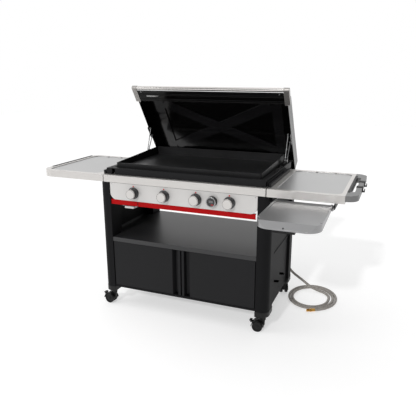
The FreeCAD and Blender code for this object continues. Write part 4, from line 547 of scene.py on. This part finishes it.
def screw_heads(name, places, axis, radius, height, material, body, slot):
    """Round heads with a hexagon socket, all in one piece."""
    work = bmesh.new()
    direction, side, up = frame_along(axis)
    flat = radius * HEAD_FLAT
    profile = [(radius, 0.0), (radius, height * HEAD_WALL), (radius * HEAD_ROUND, height * HEAD_SHOULDER),
               (flat, height)]

    def ring(origin, count, distance, size):
        spots = [origin + round_offset(side, up, 2 * math.pi * k / count, size) for k in range(count)]
        return [work.verts.new(spot + direction * distance * MM) for spot in spots]

    for place in places:
        origin = at(*place)
        lathe_mesh(work, profile, origin, axis, HEAD_SIDES)
        rim = ring(origin, HEAD_SIDES, height, flat)
        mouth = ring(origin, HEX_SIDES, height, radius * SOCKET_WIDTH)
        bottom = ring(origin, HEX_SIDES, height * (1.0 - SOCKET_DEPTH), radius * SOCKET_WIDTH)
        for k in range(HEAD_SIDES):
            near, following = (mouth[round(n / HEAD_SIDES * HEX_SIDES) % HEX_SIDES] for n in (k, k + 1))
            corners = [rim[k], rim[(k + 1) % HEAD_SIDES], following]
            if near is not following:
                corners.append(near)
            work.faces.new(corners)
        for k in range(HEX_SIDES):
            n = (k + 1) % HEX_SIDES
            work.faces.new([mouth[k], mouth[n], bottom[n], bottom[k]])
        work.faces.new(bottom)
    bmesh.ops.remove_doubles(work, verts=work.verts, dist=WELD)
    piece = add_piece(name, finish_mesh(work, name), material, body)
    sharpen(piece)


# ---------------------------------------------------------------- hose

HOSE_R = 9.0
HOSE_CENTRE_Z = 9.2
HOSE_ROUTE = (
    (466.0, 690.0, 240.0),
    (466.0, 724.0, 240.0),
    (471.0, 754.0, 224.0),
    (481.0, 771.0, 196.0),
    (499.0, 777.0, 158.0),
    (528.0, 768.0, 118.0),
    (570.0, 755.0, 93.0),
    (616.0, 745.0, 70.0),
    (658.0, 736.0, 45.0),
    (700.0, 731.0, 22.0),
    (745.0, 727.0, 9.8),
    (779.0, 716.0, 9.2),
    (804.0, 693.0, 9.2),
)
COIL_CENTRE = (715.0, 612.0)
COIL_INNER = (124.0, 149.0)
COIL_PITCH = 20.5
COIL_TURNS = 2.2
COIL_START = 6.0
COIL_APPROACH = 22.0
COIL_LEAD_IN = 9.0
COIL_LEAD_TURNS = 0.3
POINTS_PER_TURN = 16
HOSE_ORDER = 3
HOSE_STEPS = 12
HOSE_SIDES = 24
TANGENT_STEP = 1e-5
BRAID_ROUND = 8.0


def spiral_point(turn):
    angle = math.radians(COIL_START) - 2 * math.pi * turn
    grow = COIL_PITCH * turn - COIL_LEAD_IN * max(0.0, 1 - turn / COIL_LEAD_TURNS) ** 2
    x = COIL_CENTRE[0] + (COIL_INNER[0] + grow) * math.cos(angle)
    y = COIL_CENTRE[1] + (COIL_INNER[1] + grow) * math.sin(angle)
    return Vector((x, y, HOSE_CENTRE_Z))


def spiral_tangent(turn):
    return (spiral_point(turn + TANGENT_STEP) - spiral_point(turn - TANGENT_STEP)).normalized()


def hose_path():
    """Points along the hose's middle: the run from the inlet, then the coil."""
    start, along = spiral_point(0), spiral_tangent(0)
    lead = start - along * (2 * HOSE_R)
    points = [Vector(p) for p in HOSE_ROUTE] + [lead - along * COIL_APPROACH, lead]
    count = int(round(COIL_TURNS * POINTS_PER_TURN))
    points += [spiral_point(COIL_TURNS * k / count) for k in range(count + 1)]
    points.append(spiral_point(COIL_TURNS) + spiral_tangent(COIL_TURNS) * (2 * HOSE_R))
    curve = bpy.data.curves.new("hose_line", "CURVE")
    curve.dimensions = "3D"
    spline = curve.splines.new("NURBS")
    spline.points.add(len(points) - 1)
    for spot, point in zip(spline.points, points):
        spot.co = (*at(*point), 1.0)
    spline.order_u = HOSE_ORDER
    spline.use_endpoint_u = True
    spline.resolution_u = HOSE_STEPS
    line_object = bpy.data.objects.new("hose_line", curve)
    scene.collection.objects.link(line_object)
    bpy.context.view_layer.update()
    line = bpy.data.meshes.new_from_object(line_object)
    path = [vert.co.copy() for vert in line.vertices]
    bpy.data.objects.remove(line_object)
    bpy.data.meshes.remove(line)
    return path


def hose():
    """Round hose along its path, with the braid's coordinates laid along and round it."""
    path = hose_path()
    work = bmesh.new()
    uv_layer = work.loops.layers.uv.new("UVMap")
    rings, lengths = [], []
    travelled = 0.0
    up = Vector((1, 0, 0))
    for i, point in enumerate(path):
        ahead = path[min(i + 1, len(path) - 1)]
        behind = path[max(i - 1, 0)]
        travelled += (point - behind).length
        direction = (ahead - behind).normalized()
        up = (up - direction * up.dot(direction)).normalized()
        side = direction.cross(up)
        rings.append([work.verts.new(point + round_offset(up, side, 2 * math.pi * k / HOSE_SIDES, HOSE_R))
                      for k in range(HOSE_SIDES)])
        lengths.append(travelled)
    girth = 2 * math.pi * HOSE_R * MM
    for i in range(len(rings) - 1):
        for k in range(HOSE_SIDES):
            n = (k + 1) % HOSE_SIDES
            face = work.faces.new([rings[i][k], rings[i][n], rings[i + 1][n], rings[i + 1][k]])
            for loop, (part, row) in zip(face.loops, ((k, i), (k + 1, i), (k + 1, i + 1), (k, i + 1))):
                loop[uv_layer].uv = (part / HOSE_SIDES * BRAID_ROUND, lengths[row] / girth * BRAID_ROUND)
    work.faces.new(rings[0])
    work.faces.new(list(reversed(rings[-1])))
    piece = add_piece("gas_hose", finish_mesh(work, "gas_hose"), hose_cover, "cart")
    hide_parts("gas_hose_run", "gas_hose_coil")


hose()


# ---------------------------------------------------------------- knobs, marks and display

CONTROL_HEIGHT = 800.0
KNOB_SPACING = 208.0
KNOB_PLACES = (-1.5, -0.5, 0.5, 1.5)
KNOB_FRONT = -43.0
KNOB_BACK = -3.5
DEEP = KNOB_BACK - KNOB_FRONT
CAP_SEAT = 6.4

# Turned forms are pairs of radius and distance along their axis.
GRIP_PROFILE = [
    (0.0, 0.0), (35.5, 0.0), (35.5, 3.6), (34.9, 4.4), (32.2, 6.4), (31.4, 8.5), (31.0, 10.0),
    (30.6, DEEP - 9.0), (30.4, DEEP - 7.5), (30.2, DEEP - 6.6),
    (29.4, DEEP - CAP_SEAT), (29.0, DEEP - CAP_SEAT),
]
GRIP_SIDES = 144
GRIP_RIBS = {"ribs": 36, "rib_depth": 0.35, "rib_rows": (6, 7)}
GRIP_CREASE = 30.0
CAP_PROFILE = [
    (29.0, DEEP - CAP_SEAT), (29.0, DEEP - 5.6), (30.0, DEEP - 5.4), (30.4, DEEP - 4.8), (30.4, DEEP - 1.4),
    (29.9, DEEP - 0.5), (28.8, DEEP - 0.05), (28.3, DEEP - 0.1), (28.1, DEEP - 0.7), (27.1, DEEP - 0.7),
    (26.9, DEEP - 0.15), (12.0, DEEP - 0.4), (0.0, DEEP - 0.45),
]
CAP_GROOVE_ROWS = range(7, 10)
BAND_PROFILE = [(32.0, 0.0), (33.2, 0.3), (33.2, 1.5), (31.6, 1.9)]
BAND_OUT = 6.4
RING_PROFILE = [(35.9, 0.2), (36.7, 0.2), (36.9, 0.7), (36.5, 1.1), (35.9, 1.1)]
RING_Y = -1.45
BAND_SIDES = 96
POINTER_HALF = 1.2
POINTER_Y = (4.0, 18.0)
POINTER_Z = (29.0, 31.4)
MARK_HALF = 4.0
MARK_Y = (-0.3, 1.2)
MARK_Z = (38.5, 46.0)


def knob(number, x):
    """Black ribbed grip with a light metal cap, standing for the plain CAD knob."""
    name = f"knob_{number}_detail"
    body = f"knob_{number}"
    work = bmesh.new()
    lathe_mesh(work, GRIP_PROFILE, at(x, KNOB_BACK, CONTROL_HEIGHT), OUTWARD, GRIP_SIDES, **GRIP_RIBS)
    faces = lathe_mesh(work, CAP_PROFILE, at(x, KNOB_BACK, CONTROL_HEIGHT), OUTWARD, GRIP_SIDES)
    for i, face in enumerate(faces):
        face.material_index = 0 if i // GRIP_SIDES in CAP_GROOVE_ROWS else 1
    bmesh.ops.remove_doubles(work, verts=work.verts, dist=FINE_WELD)
    data = finish_mesh(work, name)
    piece = add_piece(name, data, knob_black, body)
    data.materials.append(knob_face_metal)
    sharpen(piece, GRIP_CREASE)
    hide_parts(f"knob_{number}")

    pointer = [(x + POINTER_HALF * k, KNOB_FRONT + y, CONTROL_HEIGHT + z)
               for k, y, z in zip((-1, 1), POINTER_Y, POINTER_Z)]
    blocks(f"knob_{number}_pointer", [pointer], pale_mark, body, bevel=0.3)
    mark = [(x + MARK_HALF * k, y, CONTROL_HEIGHT + z) for k, y, z in zip((-1, 1), MARK_Y, MARK_Z)]
    blocks(f"mark_{number}", [mark], red_mark, "cart", bevel=0.4)
    lathe(f"knob_{number}_band", BAND_PROFILE, (x, KNOB_BACK - BAND_OUT, CONTROL_HEIGHT), OUTWARD, link_steel,
          body, segments=BAND_SIDES)
    lathe(f"knob_{number}_ring", RING_PROFILE, (x, RING_Y, CONTROL_HEIGHT), OUTWARD, bright_bolt,
          "cart", segments=BAND_SIDES)


for index, step in enumerate(KNOB_PLACES, 1):
    knob(index, KNOB_SPACING * step)

SEGMENTS_LIT = {"3": "abgcd", "5": "afgcd", "0": "abcdef"}
DISPLAY_X = KNOB_SPACING
DISPLAY_Y = -26.0
DIGITS = "350"
DIGITS_LEFT = 12.5
DIGITS_DROP = 4.0
DIGIT_STEP = 8.8
DIGIT_WIDTH = 6.8
DIGIT_HEIGHT = 12.0
DIGIT_STROKE = 1.7
DIGIT_GAP = 0.25
DIGIT_Y = (0.75, 1.25)


def digit_boxes(character, x, z):
    """The lit bars of one generic seven-segment figure."""
    half = DIGIT_HEIGHT / 2
    right, top = x + DIGIT_WIDTH, z + DIGIT_HEIGHT
    spots = {
        "a": (x, right, top - DIGIT_STROKE, top),
        "b": (right - DIGIT_STROKE, right, z + half, top),
        "c": (right - DIGIT_STROKE, right, z, z + half),
        "d": (x, right, z, z + DIGIT_STROKE),
        "e": (x, x + DIGIT_STROKE, z, z + half),
        "f": (x, x + DIGIT_STROKE, z + half, top),
        "g": (x, right, z + half - DIGIT_STROKE / 2, z + half + DIGIT_STROKE / 2),
    }
    front, back = (DISPLAY_Y + y for y in DIGIT_Y)
    made = []
    for key in SEGMENTS_LIT[character]:
        x0, x1, z0, z1 = spots[key]
        made.append(((x0 + DIGIT_GAP, front, z0 + DIGIT_GAP), (x1 - DIGIT_GAP, back, z1 - DIGIT_GAP)))
    return made


digits = []
for place, character in enumerate(DIGITS):
    digit_x = DISPLAY_X - DIGITS_LEFT + place * DIGIT_STEP
    digits += digit_boxes(character, digit_x, CONTROL_HEIGHT - DIGITS_DROP)
blocks("display_digits", digits, pale_mark, "cart", bevel=0.15)

DISPLAY_AT = (DISPLAY_X, DISPLAY_Y, CONTROL_HEIGHT)
DISPLAY_SIDES = 72
RIM_PROFILE = [(25.8, 1.4), (25.8, -0.6), (27.0, -1.0), (28.8, -0.6), (29.8, 0.4), (30.3, 2.0), (30.0, 2.6)]
COLLAR_PROFILE = [(30.1, 9.0), (31.0, 9.4), (31.0, 25.0), (30.1, 26.0)]
BAR_X = (1.0, 17.0)
BAR_Y = (0.7, 1.2)
BAR_Z = (-17.5, -13.5)
lathe("display_rim", RIM_PROFILE, DISPLAY_AT, INWARD, bright_bolt, "cart",
      segments=DISPLAY_SIDES)
lathe("display_ring", COLLAR_PROFILE, DISPLAY_AT, INWARD, plastic, "cart",
      segments=DISPLAY_SIDES)
display_bar = [(DISPLAY_X + x, DISPLAY_Y + y, CONTROL_HEIGHT + z) for x, y, z in zip(BAR_X, BAR_Y, BAR_Z)]
blocks("display_bar", [display_bar], red_mark, "cart", bevel=0.2)


# ---------------------------------------------------------------- lid details

# The lid's own pieces are drawn on the flat lid, whose handle's middle is the origin, and turned open.
LID_LEAN = 34.0
LID_HANDLE = (0.0, 428.0, 1413.0)
LID_HALF = 521.0
LID_TURN = Matrix.Rotation(math.radians(LID_LEAN - 90.0), 4, "X")
ON_LID = Matrix.Translation(at(*LID_HANDLE)) @ LID_TURN @ Matrix.Translation(-MOVE)
BAND_FACE = -12.95

LIP_END = 21.0
LIP_LOW = (9.0, -17.0)
LIP_HIGH = (15.5, -13.05)
blocks("lid_lip", [((LIP_END - LID_HALF, *LIP_LOW), (LID_HALF - LIP_END, *LIP_HIGH))], lid_black,
       "lid", bevel=1.0, turned=ON_LID)

PLATE_LOW = (-442.0, 51.0, -13.7)
PLATE_HIGH = (-354.0, 60.0, BAND_FACE)
blocks("lid_plate", [(PLATE_LOW, PLATE_HIGH)], bright_bolt, "lid", bevel=0.3, turned=ON_LID)

# Screws have a head's radius and height.
DECK_SCREW = (4.5, 2.4)
DECK_SCREWS_X = 490.0
DECK_SCREWS_Y = (52.0, 655.0)
DECK_SCREW_SINK = 0.05
COOKBOX_TOP = (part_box("cookbox")[1][2] - MOVE.z) / MM
screw_heads(
    "deck_screws",
    [(x, y, COOKBOX_TOP - DECK_SCREW_SINK) for x in (-DECK_SCREWS_X, DECK_SCREWS_X) for y in DECK_SCREWS_Y],
    UPWARD, *DECK_SCREW, bolt_metal, "cart", "black_steel",
)
PANEL_SCREW = (3.2, 1.6)
PANEL_SCREWS = [(x, 1.05, 846.0) for x in (-466.0, 466.0)]
screw_heads("panel_screws", PANEL_SCREWS, OUTWARD, *PANEL_SCREW, bright_bolt, "cart", "brushed_steel")

BAND_SCREW = (5.0, 2.6)
BAND_SCREWS = [(x, 22.0, BAND_FACE) for x in (-474.0, 474.0)]
out_of_lid = tuple(LID_TURN.to_3x3() @ Vector((0.0, 0.0, -1.0)))
band_screws = [tuple((ON_LID @ at(*place) - MOVE) / MM) for place in BAND_SCREWS]
screw_heads("lid_band_screws", band_screws, out_of_lid, *BAND_SCREW, bright_bolt, "lid", "brushed_steel")

RIB_END = 13.0
RIB_WIDTH = 4.0
RIB_LOW = -14.3
RIB_HIGH = -12.9
RIBS_Y = (34.0, 74.0)
blocks(
    "lid_band_ribs",
    [((RIB_END - LID_HALF, y, RIB_LOW), (LID_HALF - RIB_END, y + RIB_WIDTH, RIB_HIGH)) for y in RIBS_Y],
    leg_black, "lid", bevel=0.6, turned=ON_LID,
)


# ---------------------------------------------------------------- lid links, fittings and wheels

FRONT_HEAD = (599.31, 1123.26)
REAR_HEAD = (635.10, 1070.20)
LINK_THICK = 6.0
FRONT_LINK_IN = (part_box("lid_front_links")[1][0] - MOVE.x) / MM - LINK_THICK
REAR_LINK_OUT = (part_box("lid_rear_links")[1][0] - MOVE.x) / MM
BOLT_DOME = [(6.6, 0.02), (6.6, 1.2), (5.8, 2.4), (3.6, 3.2), (0.0, 3.5)]
BOLT_SIDES = 32
for side, tag in ((-1, "left"), (1, "right")):
    lathe(f"{tag}_front_bolt", BOLT_DOME, (side * FRONT_LINK_IN, *FRONT_HEAD), (-side, 0, 0), bright_bolt,
          "front_links", segments=BOLT_SIDES)
    lathe(f"{tag}_rear_bolt", BOLT_DOME, (side * REAR_LINK_OUT, *REAR_HEAD), (side, 0, 0), bright_bolt,
          "rear_links", segments=BOLT_SIDES)

# Each caster's swivel axis and the way it trails, in degrees from X.
CASTERS = {
    "front_left": (-520.0, 57.0, 176.0),
    "front_right": (520.0, 57.0, 184.0),
    "rear_left": (-520.0, 608.0, 96.0),
    "rear_right": (520.0, 608.0, 112.0),
}
WHEEL_TRAIL = 34.0
WHEEL_HEIGHT = 32.5
CAP_SIDE = 26.6
HUB_CAP = [(8.4, 0.0), (8.4, 0.9), (7.4, 1.6), (4.2, 2.0), (4.0, 1.4), (0.0, 1.4)]
HUB_SIDES = 40
NECK_RING = [(15.1, 0.0), (16.4, 0.3), (16.4, 2.6), (15.1, 3.0)]
NECK_HEIGHT = 104.0
NECK_SIDES = 48


def wheel_details():
    """Hub caps on both wheels of each caster and a bearing ring round the fork's neck."""
    for name, (x, y, heading) in CASTERS.items():
        turn = math.radians(heading)
        along = Vector((math.cos(turn), math.sin(turn), 0.0))
        across = Vector((-math.sin(turn), math.cos(turn), 0.0))
        hub = Vector((x, y, WHEEL_HEIGHT)) + along * WHEEL_TRAIL
        for side, tag in ((-1, "near"), (1, "far")):
            place = tuple(hub + across * (side * CAP_SIDE))
            lathe(f"{name}_{tag}_cap", HUB_CAP, place, tuple(across * side), plastic,
                  f"{name}_wheels", segments=HUB_SIDES)
        lathe(f"{name}_neck_ring", NECK_RING, (x, y, NECK_HEIGHT), UPWARD, bolt_metal, f"{name}_caster",
              segments=NECK_SIDES)


wheel_details()

NUT_PROFILE = [(9.2, 23.0), (10.4, 23.6), (10.4, 33.4), (9.2, 34.0)]
NUT_SIDES = 6
THREAD_SIDES = 40
THREAD_TURNS = 10
THREAD_PITCH = 1.6
THREAD_START = 38.0
THREAD_ROOT = 7.7
THREAD_CREST = 8.3


def fitting_details():
    """Hexagon and thread turns on the brass hose end."""
    along = spiral_tangent(COIL_TURNS)
    start = spiral_point(COIL_TURNS) + along * (2 * HOSE_R)
    lathe("fitting_nut", NUT_PROFILE, tuple(start), tuple(along), brass, "cart", segments=NUT_SIDES)
    turns = []
    for k in range(THREAD_TURNS):
        root = THREAD_START + THREAD_PITCH * k
        turns += [(THREAD_ROOT, root), (THREAD_CREST, root + THREAD_PITCH / 2)]
    turns.append((THREAD_ROOT, THREAD_START + THREAD_PITCH * THREAD_TURNS))
    lathe("fitting_thread", turns, tuple(start), tuple(along), brass, "cart", segments=THREAD_SIDES)


fitting_details()


# ---------------------------------------------------------------- rails, tables and tray

RAIL_SHADOW = ((-521.0, -0.4, 855.2), (521.0, 1.0, 856.4))
blocks("upper_rail_shadow", [RAIL_SHADOW], dark_mark, "cart", bevel=0.2)

TOP_Z = (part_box("table_tops")[1][2] - MOVE.z) / MM
MARK_SINK = 1.0
MARK_PROUD = 0.5
REAR_MARKS_Y = (574.5, 578.4)
FRONT_MARKS_Y = (25.6, 30.0)
REAR_MARKS = ((697.0, 711.0), (817.0, 831.0), (-862.0, -844.0), (-749.0, -735.0))
FRONT_MARKS = ((682.0, 727.0), (808.0, 834.0), (-842.0, -812.0), (-611.0, -581.0))
blocks(
    "table_slots",
    [((x0, y0, TOP_Z - MARK_SINK), (x1, y1, TOP_Z + MARK_PROUD))
     for marks, (y0, y1) in ((REAR_MARKS, REAR_MARKS_Y), (FRONT_MARKS, FRONT_MARKS_Y)) for x0, x1 in marks],
    dark_mark, "cart", bevel=0.3,
)

SEAM = ((-289.6, 5.4, 716.0), (-286.6, 8.0, 746.6))
blocks("red_rail_seam", [SEAM], dark_mark, "drawer", bevel=0.2)
